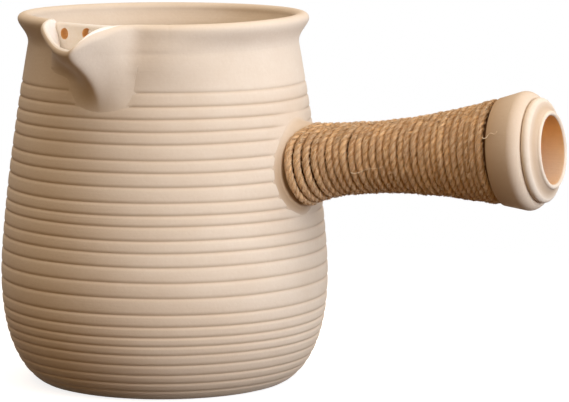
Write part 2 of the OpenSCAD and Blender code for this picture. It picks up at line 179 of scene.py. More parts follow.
class KettleColours(bpy.types.PropertyGroup):
    """Colours of the clay, the twine and the stage."""
    clay: colour("Clay", "Unglazed clay", (0.80, 0.70, 0.585))
    clay_deep: colour("Deep clay", "Darker patches of the clay", (0.68, 0.55, 0.42))
    # Painted light: a paler clay for the screen and the spout's inside, which lie in shade
    clay_painted_light: colour("Pale clay", "Paler clay as painted light on the screen and inside the spout", (0.97, 0.955, 0.94))
    # Darker tint of the grooves, and the colour of painted shade on the clay
    darkening_and_painted_light: colour("Groove darkening and painted shade", "Darker tint of the grooves, and colour of painted shade", (0.50, 0.35, 0.22))
    raw: colour("Raw clay", "Rough clay inside the handle", (1.0, 0.6, 0.22))
    raw_deep: colour("Deep raw clay", "Darker patches inside the handle", (0.7, 0.36, 0.13))
    pierced: colour("Pierced clay", "Rough clay inside the strainer's holes", (0.9, 0.58, 0.28))
    jute: colour("Jute", "Pale side of the jute", (1.0, 0.695, 0.39))
    jute_deep: colour("Deep jute", "Dark side of the jute", (0.42, 0.195, 0.065))
    fibre: colour("Fibre", "Loose fibres", (0.88, 0.68, 0.45))
    strand: colour("Strand", "A loose pale strand of jute", (1.0, 0.86, 0.66))
    # Painted shade: the dark clay under the twine, which shows between its turns
    shade_under_twine: colour("Under the twine", "Painted shade on the clay under the twine", (0.16, 0.08, 0.035))
    floor: colour("Floor", "Plain floor", (0.56, 0.54, 0.52))


# Small helpers for shapes

def mix(a, b, t):
    """The value a share of the way from one to another."""
    return a + (b - a) * t


def ease(t):
    """A share that starts and stops gently."""
    t = np.clip(t, 0.0, 1.0)
    return t * t * (3 - 2 * t)


def curve(p0, p1, p2, p3, t):
    """A cubic curve between two ends with two pulls."""
    s = 1 - t
    return s**3 * p0 + 3 * s**2 * t * p1 + 3 * s * t**2 * p2 + t**3 * p3


def unit(vectors):
    """Vectors of length one."""
    return vectors / np.linalg.norm(vectors, axis=-1, keepdims=True)


def full_turn(steps):
    """Angles once round, in equal steps."""
    return np.linspace(0, 2 * math.pi, steps, endpoint=False)


def signed_angle(turn):
    """The same angle, between half a turn back and half a turn on."""
    return (turn + math.pi) % (2 * math.pi) - math.pi


def grid_faces(rows, columns, wrap_rows, wrap_columns):
    """Four-cornered faces of a grid of points, which may close on itself either way."""
    row, column = np.meshgrid(np.arange(rows if wrap_rows else rows - 1),
                              np.arange(columns if wrap_columns else columns - 1), indexing="ij")
    next_row, next_column = (row + 1) % rows, (column + 1) % columns
    corners = (row * columns + column, row * columns + next_column,
               next_row * columns + next_column, next_row * columns + column)
    return np.stack(corners, axis=-1).reshape(-1, 4)


def end_faces(first, last, steps, columns, column, flip):
    """Faces that close an open end of a grid at a column: rungs between two sides, and one under the lip."""
    rungs = [[first + i, first + i + 1, last - i - 1, last - i] for i in range(steps)]
    rungs.append(list(range(first + steps, last - steps + 1)))
    return [[row * columns + column for row in rung][::flip] for rung in rungs]


def closed_tube_faces(rings, sides):
    """Faces of a tube made of rings of points, with both of its ends closed."""
    last = (rings - 1) * sides
    ends = [list(range(sides))[::-1], [last + k for k in range(sides)]]
    return grid_faces(rings, sides, False, True).tolist() + ends


def make_piece(name, points, faces, materials, marks=None, face_materials=None, sharp=50):
    """A clean mesh object from points in metres, with a mark kept on each point under its name."""
    smallest = 1e-7
    mesh = bpy.data.meshes.new(name)
    corners = np.asarray(points, float).reshape(-1, 3).tolist()
    mesh.from_pydata(corners, [], [list(map(int, face)) for face in faces])
    for mark, values in (marks or {}).items():
        kept = mesh.attributes.new(mark, "FLOAT", "POINT")
        kept.data.foreach_set("value", np.asarray(values, np.float32).ravel())
    for material in materials:
        mesh.materials.append(material)
    if face_materials is not None:
        mesh.polygons.foreach_set("material_index", np.asarray(face_materials, np.int32))
    work = bmesh.new()
    work.from_mesh(mesh)
    bmesh.ops.remove_doubles(work, verts=work.verts, dist=smallest)
    bmesh.ops.dissolve_degenerate(work, edges=work.edges, dist=smallest)
    work.to_mesh(mesh)
    work.free()
    mesh.shade_smooth()
    mesh.set_sharp_from_angle(angle=sharp * DEGREE)
    piece = bpy.data.objects.new(name, mesh)
    bpy.context.scene.collection.objects.link(piece)
    return piece


def settle(piece, node=None):
    """The piece rides on the kettle's one body and stands for its solid."""
    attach(piece, BODY)
    if node:
        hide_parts(node)


# The vessel's shape

def neck_height(vessel):
    """Height of the neck, where the wall is narrowest."""
    return vessel.height - vessel.neck_drop


def lip_edge(vessel):
    """Height at which the round of the rolled lip starts."""
    return vessel.height - vessel.lip_height


def window_sill(vessel, spout):
    """Height of the sill of the window behind the spout."""
    return vessel.height - spout.window_drop


def turned_radius(vessel, z, foot, base, belly, neck, rim):
    """Radius of a turned wall: round heel, slow shoulder and flare."""
    heel_round, heel_fullness = 2.5, 1.55
    shoulder_bend, flare_bend = 1.38, 1.25
    z = np.asarray(z, float)
    neck_z, lip_z = neck_height(vessel), lip_edge(vessel)
    heel_share = np.clip((z - foot) / (vessel.belly_height - foot), 0, 1)
    heel = mix(base, belly, (1 - (1 - heel_share) ** heel_round) ** (1 / heel_fullness))
    shoulder_share = np.clip((z - vessel.belly_height) / (neck_z - vessel.belly_height), 0, 1)
    shoulder = mix(belly, neck, shoulder_share**shoulder_bend)
    flare_share = np.clip((z - neck_z) / (lip_z - neck_z), 0, 1) ** flare_bend
    flare = mix(neck, rim, ease(flare_share))
    return np.where(z < vessel.belly_height, heel, np.where(z < neck_z, shoulder, flare))


def wall_radius(vessel, z):
    """Outer radius of the smooth wall."""
    return turned_radius(vessel, z, 0.0, vessel.base_radius, vessel.belly_radius,
                         vessel.neck_radius, vessel.rim_radius)


def inside_radius(vessel, z):
    """Inner radius of the wall."""
    wall = vessel.wall
    return turned_radius(vessel, z, vessel.floor, vessel.base_radius - wall, vessel.belly_radius - wall,
                         vessel.neck_radius - wall, vessel.rim_radius - vessel.lip_width)


def neck_fill(vessel, spout, around, z):
    """How far clay fills out the neck beside the spout, on the handle's side."""
    start, below, rise, fade = 12 * DEGREE, 16 * MM, 17 * MM, 7 * MM
    end = ease((spout.fill_angle - around) / (spout.fill_angle - spout.half_angle))
    beside = ease(around / start) * end
    low = ease((z - neck_height(vessel) + below) / rise)
    return spout.fill * beside * low * ease((lip_edge(vessel) - z) / fade)


def rim_sag(vessel, around, z):
    """How far a point of the neck or the rim sags, most beside the spout on the handle's side."""
    most_at, narrowness = 30 * DEGREE, 4
    low_z = vessel.height - 2 * vessel.neck_drop
    beside = (0.5 + 0.5 * np.cos(around - most_at)) ** narrowness
    return vessel.rim_sag * beside * ease((z - low_z) / (lip_edge(vessel) - low_z))


def turned(radius, around, z):
    """Points at an angle round the vessel's axis, counted from the spout towards the handle."""
    return np.stack(np.broadcast_arrays(radius * np.sin(around), -radius * np.cos(around), z), axis=-1)


def spout_share(spout, around):
    """Share of the way from the spout's middle to its ends on the rim."""
    return np.sin(np.minimum(np.abs(around) / spout.half_angle, 1) * math.pi / 2) ** 2


def groove_fade(vessel, spout, handle, around, z):
    """How far the grooves are cut: not under the spout's clay, nor round the handle's root."""
    least_cover, cover_fade = 0.04 * MM, 0.15 * MM
    root_clear, root_fade, below_share = 12.5 * MM, 10 * MM, 0.8
    clear_of_spout = 1 - ease((spout_cover(vessel, spout, around, z) - least_cover) / cover_fade)
    root_z = handle.height + vessel.belly_radius * math.tan(handle.tilt)
    aside = signed_angle(around - math.pi / 2)
    drop = z - root_z
    drop = np.where(drop < 0, below_share * drop, drop)
    away = np.hypot(aside * vessel.belly_radius, drop)
    return clear_of_spout * ease((away - root_clear) / root_fade)


def groove_cut(vessel, around, z):
    """Depth cut by the grooves and the swell between them, the share of a groove and how low on a band."""
    evenness = 0.86
    heights = np.array(GROOVE_HEIGHTS[::-1]) * MM
    place = np.interp(z, heights, np.arange(len(heights)))
    groove = np.rint(place)
    nearest = heights[groove.astype(int)]
    notch = ease(1 - np.abs(z - nearest) / (vessel.groove_width / 2))
    within = (z > heights[0]) & (z < heights[-1])
    share = np.where(within, place % 1.0, 0.0)
    swell = 4 * share * (1 - share)
    strays = np.sin(2 * around + 1.7 * groove) * np.sin(around + 0.9 * groove)
    uneven = evenness + (1 - evenness) * strays
    low = np.where(within, (1 - share) ** 2, 0.0)
    return vessel.groove_depth * notch * uneven - vessel.band_swell * swell, notch, low


def wall_heights(vessel, top):
    """Heights of the rows of points up the outside to below a top, close together in each groove."""
    half = vessel.groove_width / 2
    heel_rows = (0, 0.4 * MM, 1 * MM, 1.8 * MM, 2.6 * MM)
    notch_rows = (-1, -0.66, -0.36, -0.12, 0, 0.12, 0.36, 0.66, 1)
    band_rows, neck_rows = 5, 6
    heights = list(heel_rows)
    grooves = [height * MM for height in sorted(GROOVE_HEIGHTS)]
    for i, z in enumerate(grooves):
        heights += [z + row * half for row in notch_rows]
        if i + 1 < len(grooves):
            heights += list(np.linspace(z + half, grooves[i + 1] - half, band_rows + 2)[1:-1])
    heights += list(np.linspace(grooves[-1] + half, top, neck_rows + 2)[1:-1])
    return np.array(heights)


def hand_turned(vessel, around, z):
    """Small up and down straying of the turned lines, none at the rim and the base."""
    most, base_fade, neck_fade = 0.05, 20 * MM, 15 * MM
    share = ease(z / base_fade) * ease((neck_height(vessel) - z) / neck_fade)
    stray = most * np.sin(2 * around + z / (14 * MM)) + most * np.sin(5 * around + z / (6 * MM) + 1)
    return z + stray * MM * share


# The spout's shape

def beside_spout(vessel, spout, around, z):
    """Radius of the smooth wall with the clay that fills it out beside the spout."""
    return wall_radius(vessel, z) + neck_fill(vessel, spout, around, z)


def lip_crest(vessel, spout, around):
    """Height of the lip's top at an angle."""
    near_bend, far_bend = 2, 2.4
    near = np.clip((around - spout.dip_turn) / spout.dip_near, 0, None) ** near_bend
    far = np.clip((spout.dip_turn - around) / spout.dip_far, 0, None) ** far_bend
    return vessel.height - spout.dip * np.exp(-near - far)


def keel_radius(vessel, spout, around, z):
    """Reach of the spout's clay: it leaves the wall at the keel's foot and leans out up to under the lip."""
    under_lip, sharpness, bend = 2.4 * MM, 15.2, 0.125
    foot_z = vessel.height - spout.keel_drop
    rise = (z - foot_z) / (lip_crest(vessel, spout, around) - under_lip - foot_z)
    rise = np.clip(rise, 0, None) ** sharpness
    out = (spout.reach - vessel.neck_radius) * (rise / (1 + rise)) ** bend
    return wall_radius(vessel, np.minimum(z, neck_height(vessel))) + out


def spout_bell(vessel, spout, around, z):
    """Share of the keel's reach at an angle: a bell on the near side, and a wide lip on the far side."""
    pinch, corner, fullness = 6.3, 0.05, 0.07
    wide_drop, wide_rise = 20 * MM, 9 * MM
    lean = ease((vessel.height - z - spout.dip) / (spout.keel_drop - spout.dip))
    keel = spout.tip_turn + spout.keel_lean * lean
    off = around - keel
    near = np.clip(off / (spout.half_angle - keel), 0, 1)
    far = np.clip(-off / (spout.half_angle + keel), 0, 1)
    bell = np.cos(np.maximum(near, far) * math.pi / 2) ** pinch
    straight = 1 - np.hypot(far, corner) + corner + fullness * np.sin(far * math.pi)
    high = ease((z - vessel.height + wide_drop) / wide_rise)
    return np.where(off > 0, bell, mix(bell, np.where(far < 1, straight, 0), high))


def spout_radius(vessel, spout, around, z):
    """Radius of the spout's outside at an angle and a height."""
    beside = beside_spout(vessel, spout, around, z)
    return mix(beside, keel_radius(vessel, spout, around, z), spout_bell(vessel, spout, around, z))


def spout_cover(vessel, spout, around, z):
    """How thick the spout's clay lies over the wall."""
    return spout_radius(vessel, spout, around, z) - beside_spout(vessel, spout, around, z)


def spout_foot(vessel, spout, around):
    """Height at which the spout's clay leaves the wall, at an angle from its middle."""
    least_cover, under_sill = 0.1 * MM, 1 * MM
    heights = np.linspace(vessel.height - spout.keel_drop, window_sill(vessel, spout) - under_sill, 200)
    covered = spout_cover(vessel, spout, around, heights) > least_cover
    return float(heights[np.argmax(covered)] if covered[-1] else heights[-1])


def spout_outline(vessel, spout, around, steps, lip_steps):
    """Radii and heights of the spout's closed outline at an angle: up its outside, over its lip and down."""
    probe_turn, probe_z = 0.05 * DEGREE, 0.1 * MM
    sink_most, sink_cover, sink_fade = 0.25 * MM, 0.5 * MM, 0.8 * MM
    screen_gap, wall_overlap = 0.05 * MM, 0.9 * MM
    skew_share, rim_sharpness, tries = 0.8, 8, 6

    def radius(turn, z):
        """Radius of the spout's outside."""
        return spout_radius(vessel, spout, turn, z)

    # A wall that runs outward along the lip is thicker along the radius than straight through
    share = float(spout_share(spout, around))
    crest = float(lip_crest(vessel, spout, around))
    slope = float(radius(around + probe_turn, crest) - radius(around - probe_turn, crest)) / (2 * probe_turn)
    skew = mix(1, math.hypot(1, slope / float(radius(around, crest))), skew_share)
    half = mix(spout.tip_lip * skew, vessel.lip_width, share**rim_sharpness) / 2
    bulge = mix(spout.tip_lip / 2, vessel.lip_height, share)

    # The round of the lip leans with the wall, so the height where it starts is found step by step
    edge_z = crest - bulge
    for _ in range(tries):
        lean = float(radius(around, edge_z + probe_z) - radius(around, edge_z - probe_z)) / (2 * probe_z)
        ahead = unit(np.array([lean, 1.0]))
        edge_z = crest - ahead[0] * half - math.hypot(ahead[0] * half, ahead[1] * bulge)

    # The foot sinks a little into the wall, so that its edge doesn't show
    t = np.linspace(0, 1, steps)[:, None]
    heights = mix(spout_foot(vessel, spout, around), edge_z, t[:, 0])
    sill_z = window_sill(vessel, spout)
    cover = spout_cover(vessel, spout, around, heights)
    sink = sink_most * np.exp(-cover / sink_cover) * ease((sill_z - heights) / sink_fade)
    outside = np.stack([radius(around, heights) - sink, heights], axis=1)
    heading = unit(np.gradient(outside, axis=0))
    heading[-1] = ahead
    thick = mix(spout.wall * skew, 2 * half, t)
    inside = outside + np.stack([-heading[:, 1], heading[:, 0]], axis=1) * thick
    turn = np.linspace(0, math.pi, lip_steps + 2)[1:-1, None]
    middle = (outside[-1] + inside[-1]) / 2
    over = middle + (outside[-1] - middle) * np.cos(turn) + ahead * bulge * np.sin(turn)

    # The inside stops at the screen's face, and below the window it lies within the vessel's wall
    face = screen_face(vessel, spout, inside[:-1, 1]) + screen_gap
    inside[:-1, 0] = np.maximum(inside[:-1, 0], face)
    within_wall = wall_radius(vessel, inside[:, 1]) - wall_overlap
    inside[:, 0] = np.where(inside[:, 1] < sill_z, within_wall, inside[:, 0])
    return np.concatenate([outside, over, inside[::-1]])


def screen_face(vessel, spout, z):
    """Radius of the screen's outer face."""
    return np.full(np.shape(z), vessel.neck_radius - spout.screen_set)


# The handle's shape

def on_handle(handle, along, radius, turn):
    """Points along the handle's axis, at a radius and at a turn counted from its top towards the spout."""
    axis = np.array([math.cos(handle.tilt), 0, math.sin(handle.tilt)])
    up = np.array([-math.sin(handle.tilt), 0, math.cos(handle.tilt)])
    side = np.array([0, -1.0, 0])
    places = np.broadcast_arrays(along, radius, turn)
    along, radius, turn = (np.asarray(place, float)[..., None] for place in places)
    outward = np.cos(turn) * up + np.sin(turn) * side
    return np.array([0, 0, handle.height]) + along * axis + radius * outward


def wall_station(vessel, handle, radius, turn):
    """Distance along the handle's axis at which a line at that radius and turn meets the vessel's wall."""
    halvings = 34
    radius, turn = np.broadcast_arrays(np.asarray(radius, float), np.asarray(turn, float))
    low, high = np.zeros(radius.shape), np.full(radius.shape, 2 * vessel.belly_radius)
    for _ in range(halvings):
        middle = (low + high) / 2
        points = on_handle(handle, middle, radius, turn)
        outside = np.hypot(points[..., 0], points[..., 1]) > wall_radius(vessel, points[..., 2])
        low, high = np.where(outside, low, middle), np.where(outside, middle, high)
    return high


def handle_stations(vessel, handle):
    """Stations along the handle's axis: the wall, the twine's shoulder, the tube's end and the open end."""
    wall = float(wall_radius(vessel, handle.height))
    end = wall + handle.length
    tube_end = end - handle.ring_length
    return wall, tube_end - handle.flange_round - handle.bare_width, tube_end, end


def grip_radius(vessel, handle, along):
    """Radius of the grip outside the twine, and of the bare flare beyond it."""
    root_bend, flare_bend = 2.6, 1.75
    wall, _, tube_end, _ = handle_stations(vessel, handle)
    waist = wall + handle.waist_at
    root = np.clip((waist - along) / handle.waist_at, 0, None) ** root_bend
    flare = np.clip((along - waist) / (tube_end - waist), 0, None) ** flare_bend
    rooted = handle.waist_radius + (handle.root_radius - handle.waist_radius) * root
    return rooted + (handle.flange_radius - handle.waist_radius) * flare


def under_swell(handle, from_wall, turn):
    """Extra radius under the grip, which dies away from the wall."""
    most_at, narrowness, reach = 135 * DEGREE, 1.5, 7 * MM
    below = np.clip(np.cos(turn - most_at), 0, 1) ** narrowness
    return handle.under_swell * below * np.exp(-np.clip(from_wall, 0, None) / reach)


def collar_edge(handle, turn):
    """Height above the wall at which the collar ends and the twine begins: most on top of the grip."""
    narrowness = 5
    return handle.collar_height + handle.collar_rise * np.clip(np.cos(turn), 0, 1) ** narrowness


def arc(centre, radius, start, stop, steps):
    """Points on an arc, as radii and stations, between two angles in degrees from straight outward."""
    turn = np.radians(np.linspace(start, stop, steps))
    return [(centre[0] + radius * math.cos(a), centre[1] + radius * math.sin(a)) for a in turn]


def revolve_on_handle(handle, outline, columns):
    """Points of an outline of radii and stations turned about the handle's axis, and its faces."""
    outline = np.asarray(outline, float)
    points = on_handle(handle, outline[:, 1:2], outline[:, 0:1], full_turn(columns)[None, :])
    return points, grid_faces(len(outline), columns, True, True)


# Twine

def twine_path(vessel, handle, twine):
    """Middle line of the twine: points, directions along, outward and sideways, and the length so far."""
    rings, first_turn = 150, 250 * DEGREE
    collar_gap, slack, level_over = 0.7, 0.055, 28 * MM
    start_tuck, end_tuck = 0.3, 0.4
    share = np.linspace(0, 1, twine.turns * rings + 1)
    turn = share * twine.turns * 2 * math.pi + first_turn
    half = twine.width / 2

    # The first turns follow the collar's edge, and later turns level out
    wall_along = wall_station(vessel, handle, handle.root_radius, turn)
    _, shoulder, _, _ = handle_stations(vessel, handle)
    first = wall_along + collar_edge(handle, turn) + collar_gap * half
    start = float(first[:rings].mean())
    along = mix(start, shoulder - half, share + slack * share * (1 - share))
    along = along + (first - start) * np.exp(-(along - start) / level_over)
    draw = np.random.default_rng(7)
    stray = np.zeros((2, len(share)))
    for waves in (5.3, 11.7, 23.9, 47.3):
        stray += np.sin(waves * share * 2 * math.pi + draw.uniform(0, 2 * math.pi, (2, 1))) / 2
    along = along + twine.wander * stray[0]

    # Both ends are tucked in under their neighbours
    radius = grip_radius(vessel, handle, along) + under_swell(handle, along - wall_along, turn) - half
    radius = radius + 0.5 * twine.wander * stray[1]
    tuck = ease((share - 1 + end_tuck / twine.turns) * twine.turns / end_tuck)
    tuck = tuck + ease((start_tuck / twine.turns - share) * twine.turns / start_tuck)
    radius = radius - half * tuck
    points = on_handle(handle, along, radius, turn)
    ahead = unit(np.gradient(points, axis=0))
    outward = on_handle(handle, along, radius + MM, turn) - points
    outward = unit(outward - ahead * (outward * ahead).sum(1, keepdims=True))
    side = np.cross(ahead, outward)
    run = np.concatenate([[0], np.cumsum(np.linalg.norm(np.diff(points, axis=0), axis=1))])
    return points, ahead, outward, side, run


def tube_along(points, outward, side, radius):
    """Points of a tube along a line with its frame, from a radius for each ring and each side."""
    turn = full_turn(radius.shape[1])[None, :, None]
    ring = outward[:, None] * np.cos(turn) + side[:, None] * np.sin(turn)
    return points[:, None] + ring * radius[..., None]


# Materials

def feed(tree, socket, value):
    """Link a socket to another one, or set its value. A colour is made opaque."""
    if isinstance(value, bpy.types.NodeSocket):
        tree.links.new(value, socket)
    elif socket.type == "RGBA":
        socket.default_value = (*value[:3], 1.0)
    else:
        socket.default_value = value


def lay(tree, kind, inputs=None, **settings):
    """A node with its settings, and with each of the given inputs set or linked."""
    made = tree.nodes.new(kind)
    for name, value in settings.items():
        setattr(made, name, value)
    for name, value in (inputs or {}).items():
        feed(tree, made.inputs[name], value)
    return made


def maths(tree, operation, *values):
    """The result of a sum on values or sockets."""
    return lay(tree, "ShaderNodeMath", dict(enumerate(values)), operation=operation).outputs[0]


def tint(tree, factor, low, high):
    """A colour between two, by a factor."""
    return lay(tree, "ShaderNodeMix", {0: factor, 6: low, 7: high}, data_type="RGBA").outputs[2]


def spread(tree, value, low, high, to_low=0.0, to_high=1.0):
    """A value stretched from one range to another."""
    ranges = {"Value": value, "From Min": low, "From Max": high, "To Min": to_low, "To Max": to_high}
    return lay(tree, "ShaderNodeMapRange", ranges).outputs[0]


def noise(tree, **inputs):
    """A cloudy value."""
    return lay(tree, "ShaderNodeTexNoise", inputs).outputs[0]


def object_place(tree):
    """The place of a point in its object."""
    return lay(tree, "ShaderNodeTexCoord").outputs["Object"]


def kept_mark(tree, name):
    """The mark that a mesh keeps on its points under a name."""
    return lay(tree, "ShaderNodeAttribute", attribute_name=name).outputs["Fac"]


def seen_directly(tree):
    """One for what is seen, also in a reflection or through glass, and zero for light that bounces on."""
    path = lay(tree, "ShaderNodeLightPath").outputs
    through = maths(tree, "MAXIMUM", path["Is Glossy Ray"], path["Is Transmission Ray"])
    return maths(tree, "MAXIMUM", path["Is Camera Ray"], through)


def new_group(name, inputs, outputs):
    """A shader node group with named values going in and coming out, and its two ends."""
    group = bpy.data.node_groups.new(name, "ShaderNodeTree")
    for label, default in inputs.items():
        socket = group.interface.new_socket(label, in_out="INPUT", socket_type="NodeSocketFloat")
        socket.default_value = default
    for label in outputs:
        group.interface.new_socket(label, in_out="OUTPUT", socket_type="NodeSocketFloat")
    return group, group.nodes.new("NodeGroupInput"), group.nodes.new("NodeGroupOutput")


def clay_grain_group():
    """Fine grain of fired clay: a tone that speckles the colour, and a height for its roughness."""
    name = "Clay grain"
    if name in bpy.data.node_groups:
        return bpy.data.node_groups[name]
    group, start, end = new_group(name, {"Scale": 900.0, "Speckle": 0.3}, ("Tone", "Height"))
    place = object_place(group)
    fine = noise(group, Vector=place, Scale=start.outputs["Scale"], Detail=4.0, Roughness=0.6)
    pit_scale = maths(group, "MULTIPLY", start.outputs["Scale"], 0.45)
    cells = lay(group, "ShaderNodeTexVoronoi", {"Vector": place, "Scale": pit_scale}).outputs["Distance"]
    pits = spread(group, cells, 0.05, 0.3)
    speck = maths(group, "MULTIPLY", spread(group, fine, 0.3, 0.75), start.outputs["Speckle"])
    group.links.new(speck, end.inputs["Tone"])
    group.links.new(maths(group, "MULTIPLY_ADD", pits, 0.35, fine), end.inputs["Height"])
    return group


def mottle_group():
    """Broad uneven patches, and the fine lines that turning leaves round the axis."""
    name = "Turned mottle"
    if name in bpy.data.node_groups:
        return bpy.data.node_groups[name]
    group, start, end = new_group(name, {"Scale": 45.0, "Stretch": 1.6}, ("Patch", "Lines"))
    parts = lay(group, "ShaderNodeSeparateXYZ", {"Vector": object_place(group)}).outputs
    tall = maths(group, "MULTIPLY", parts["Z"], start.outputs["Stretch"])
    drawn = lay(group, "ShaderNodeCombineXYZ", {"X": parts["X"], "Y": parts["Y"], "Z": tall}).outputs[0]
    patch = noise(group, Vector=drawn, Scale=start.outputs["Scale"], Detail=5.0, Roughness=0.55)
    across = {side: maths(group, "MULTIPLY", parts[side], 0.06) for side in "XY"}
    flat = lay(group, "ShaderNodeCombineXYZ", {**across, "Z": parts["Z"]}).outputs[0]
    lines = noise(group, Vector=flat, Scale=1500.0, Detail=2.0)
    group.links.new(spread(group, patch, 0.32, 0.72), end.inputs["Patch"])
    group.links.new(lines, end.inputs["Lines"])
    return group


def streak_group():
    """Fibres drawn out along a yarn, from the marks kept on its points."""
    name = "Jute streaks"
    if name in bpy.data.node_groups:
        return bpy.data.node_groups[name]
    group, start, end = new_group(name, {"Along": 300.0, "Across": 1.5}, ("Streak", "Blotch"))
    run = kept_mark(group, "run")
    along = maths(group, "MULTIPLY", run, start.outputs["Along"])
    across = maths(group, "MULTIPLY", kept_mark(group, "round"), start.outputs["Across"])
    where = lay(group, "ShaderNodeCombineXYZ", {"X": along, "Y": across}).outputs[0]
    streak = noise(group, Vector=where, Scale=1.0, Detail=4.0, Roughness=0.65)
    slow_run = maths(group, "MULTIPLY", run, 55.0)
    broad = lay(group, "ShaderNodeTexNoise", {"W": slow_run, "Scale": 1.0, "Detail": 2.0},
                noise_dimensions="1D").outputs[0]
    group.links.new(spread(group, streak, 0.36, 0.62), end.inputs["Streak"])
    group.links.new(spread(group, broad, 0.3, 0.7), end.inputs["Blotch"])
    return group


def place_group(tree, group, **values):
    """A group placed in a material with its own values."""
    return lay(tree, "ShaderNodeGroup", values, node_tree=group)


def new_material(name):
    """A material with its node tree and its shader."""
    material = bpy.data.materials.new(name)
    material.use_nodes = True
    tree = material.node_tree
    return material, tree, tree.nodes["Principled BSDF"]


def clay_material(name, clay, deep, darkening_and_painted_light, roughness, grain_scale, relief):
    """Unglazed clay with grain, uneven patches and turning lines, a tint marked on its points for darker
    grooves and painted light and shade, and painted shade low down.
    """
    if name in bpy.data.materials:
        return bpy.data.materials[name]
    low_shade_top, low_shade_most = 45 * MM, 0.45
    patch_share, speck_share, line_share = 0.42, 0.8, 0.5
    rough_spread, bump_depth, shine = 0.06, 0.12 * MM, 0.3
    material, tree, shader = new_material(name)
    grain = place_group(tree, clay_grain_group(), Scale=grain_scale, Speckle=0.3)
    mottle = place_group(tree, mottle_group(), Scale=45.0, Stretch=1.6)
    patchy = tint(tree, maths(tree, "MULTIPLY", mottle.outputs["Patch"], patch_share), clay, deep)
    speckled = tint(tree, maths(tree, "MULTIPLY", grain.outputs["Tone"], speck_share), patchy, deep)
    # The marked tint: darker grooves, and painted light and shade
    darkened_and_painted = tint(tree, kept_mark(tree, "darkening_and_painted_light"), speckled, darkening_and_painted_light)
    height = lay(tree, "ShaderNodeSeparateXYZ", {"Vector": object_place(tree)}).outputs["Z"]
    # Painted shade low down: the clay darkens towards the base
    with_painted_shade = tint(tree, spread(tree, height, low_shade_top, 0.0, 0.0, low_shade_most), darkened_and_painted, darkening_and_painted_light)
    tree.links.new(with_painted_shade, shader.inputs["Base Color"])
    least_rough, most_rough = roughness - rough_spread, roughness + rough_spread
    rough = spread(tree, grain.outputs["Height"], 0.2, 1.0, least_rough, most_rough)
    tree.links.new(rough, shader.inputs["Roughness"])
    raised = maths(tree, "MULTIPLY_ADD", mottle.outputs["Lines"], line_share, grain.outputs["Height"])
    bump = lay(tree, "ShaderNodeBump", {"Height": raised, "Strength": relief, "Distance": bump_depth})
    tree.links.new(bump.outputs[0], shader.inputs["Normal"])
    shader.inputs["Specular IOR Level"].default_value = shine
    return material


def kettle_clay(name):
    """One of the kettle's clays, with its colours, its roughness, and the scale and relief of its grain."""
    colours = bpy.context.scene.kettle_colours
    smooth, dull, coarse = (0.82, 900.0, 0.35), (0.92, 900.0, 0.35), (0.92, 420.0, 0.9)
    clays = {
        "Bisque clay": (colours.clay, colours.clay_deep, colours.darkening_and_painted_light, *smooth),
        "Pale clay": (colours.clay_painted_light, colours.clay, colours.darkening_and_painted_light, *smooth),
        "Raw clay": (colours.raw, colours.raw_deep, colours.clay, *coarse),
        "Pierced clay": (colours.pierced, colours.raw_deep, colours.clay, *coarse),
        "Stained clay": (colours.shade_under_twine, colours.shade_under_twine, colours.darkening_and_painted_light, *dull),
    }
    return clay_material(name, *clays[name])


def jute_material(name, pale, deep, depth):
    """Jute yarn: streaks along it, blotches, and painted shade in the valley where the yarns meet."""
    if name in bpy.data.materials:
        return bpy.data.materials[name]
    streak_share, least_pale, blotch_share = 0.75, 0.2, 0.3
    bump_strength, bump_depth, shine, sheen = 0.8, 0.18 * MM, 0.2, 0.15
    material, tree, shader = new_material(name)
    streaks = place_group(tree, streak_group(), Along=300.0, Across=1.5)
    streak = streaks.outputs["Streak"]
    streaky = maths(tree, "MULTIPLY_ADD", streak, streak_share, least_pale)
    mixed = maths(tree, "MULTIPLY_ADD", streaks.outputs["Blotch"], blotch_share, streaky)
    body = tint(tree, mixed, deep, pale)
    # Painted shade in the valleys between the yarns, as strong as the depth given
    shaded = tint(tree, maths(tree, "MULTIPLY", kept_mark(tree, "valley_shade"), depth), body, deep)
    tree.links.new(shaded, shader.inputs["Base Color"])
    tree.links.new(spread(tree, streak, 0.0, 1.0, 0.95, 0.8), shader.inputs["Roughness"])
    bump = lay(tree, "ShaderNodeBump",
               {"Height": streak, "Strength": bump_strength, "Distance": bump_depth})
    tree.links.new(bump.outputs[0], shader.inputs["Normal"])
    shader.inputs["Specular IOR Level"].default_value = shine
    shader.inputs["Sheen Weight"].default_value = sheen
    return material


def floor_material(tone):
    """Pale floor that shows white with the kettle's shadow, and throws little light back."""
    white, bounced = (1, 1, 1), (0.08, 0.04, 0.015)
    glow, shadow_from, shadow_to = 0.82, 0.08, 0.32
    material, tree, shader = new_material("Pale floor")
    tree.nodes.remove(shader)
    place = object_place(tree)
    grain = noise(tree, Vector=place, Scale=60.0, Detail=3.0)
    pale = tint(tree, maths(tree, "MULTIPLY", grain, 0.03), tone, [0.9 * part for part in tone])
    lit = lay(tree, "ShaderNodeBsdfDiffuse", {"Color": pale}).outputs[0]
    glowing = lay(tree, "ShaderNodeEmission", {"Color": white, "Strength": glow}).outputs[0]
    near = lay(tree, "ShaderNodeAddShader", {0: lit, 1: glowing}).outputs[0]
    far = lay(tree, "ShaderNodeEmission", {"Color": white, "Strength": 1.0}).outputs[0]
    away = lay(tree, "ShaderNodeVectorMath", {0: place}, operation="LENGTH").outputs["Value"]
    fade = lay(tree, "ShaderNodeMapRange", {"Value": away, "From Min": shadow_from, "From Max": shadow_to},
               interpolation_type="SMOOTHSTEP").outputs[0]
    shown = lay(tree, "ShaderNodeMixShader", {0: fade, 1: near, 2: far}).outputs[0]
    dim = lay(tree, "ShaderNodeBsdfDiffuse", {"Color": bounced}).outputs[0]
    whole = lay(tree, "ShaderNodeMixShader", {0: seen_directly(tree), 1: dim, 2: shown}).outputs[0]
    tree.links.new(whole, tree.nodes["Material Output"].inputs["Surface"])
    return material


# Operators

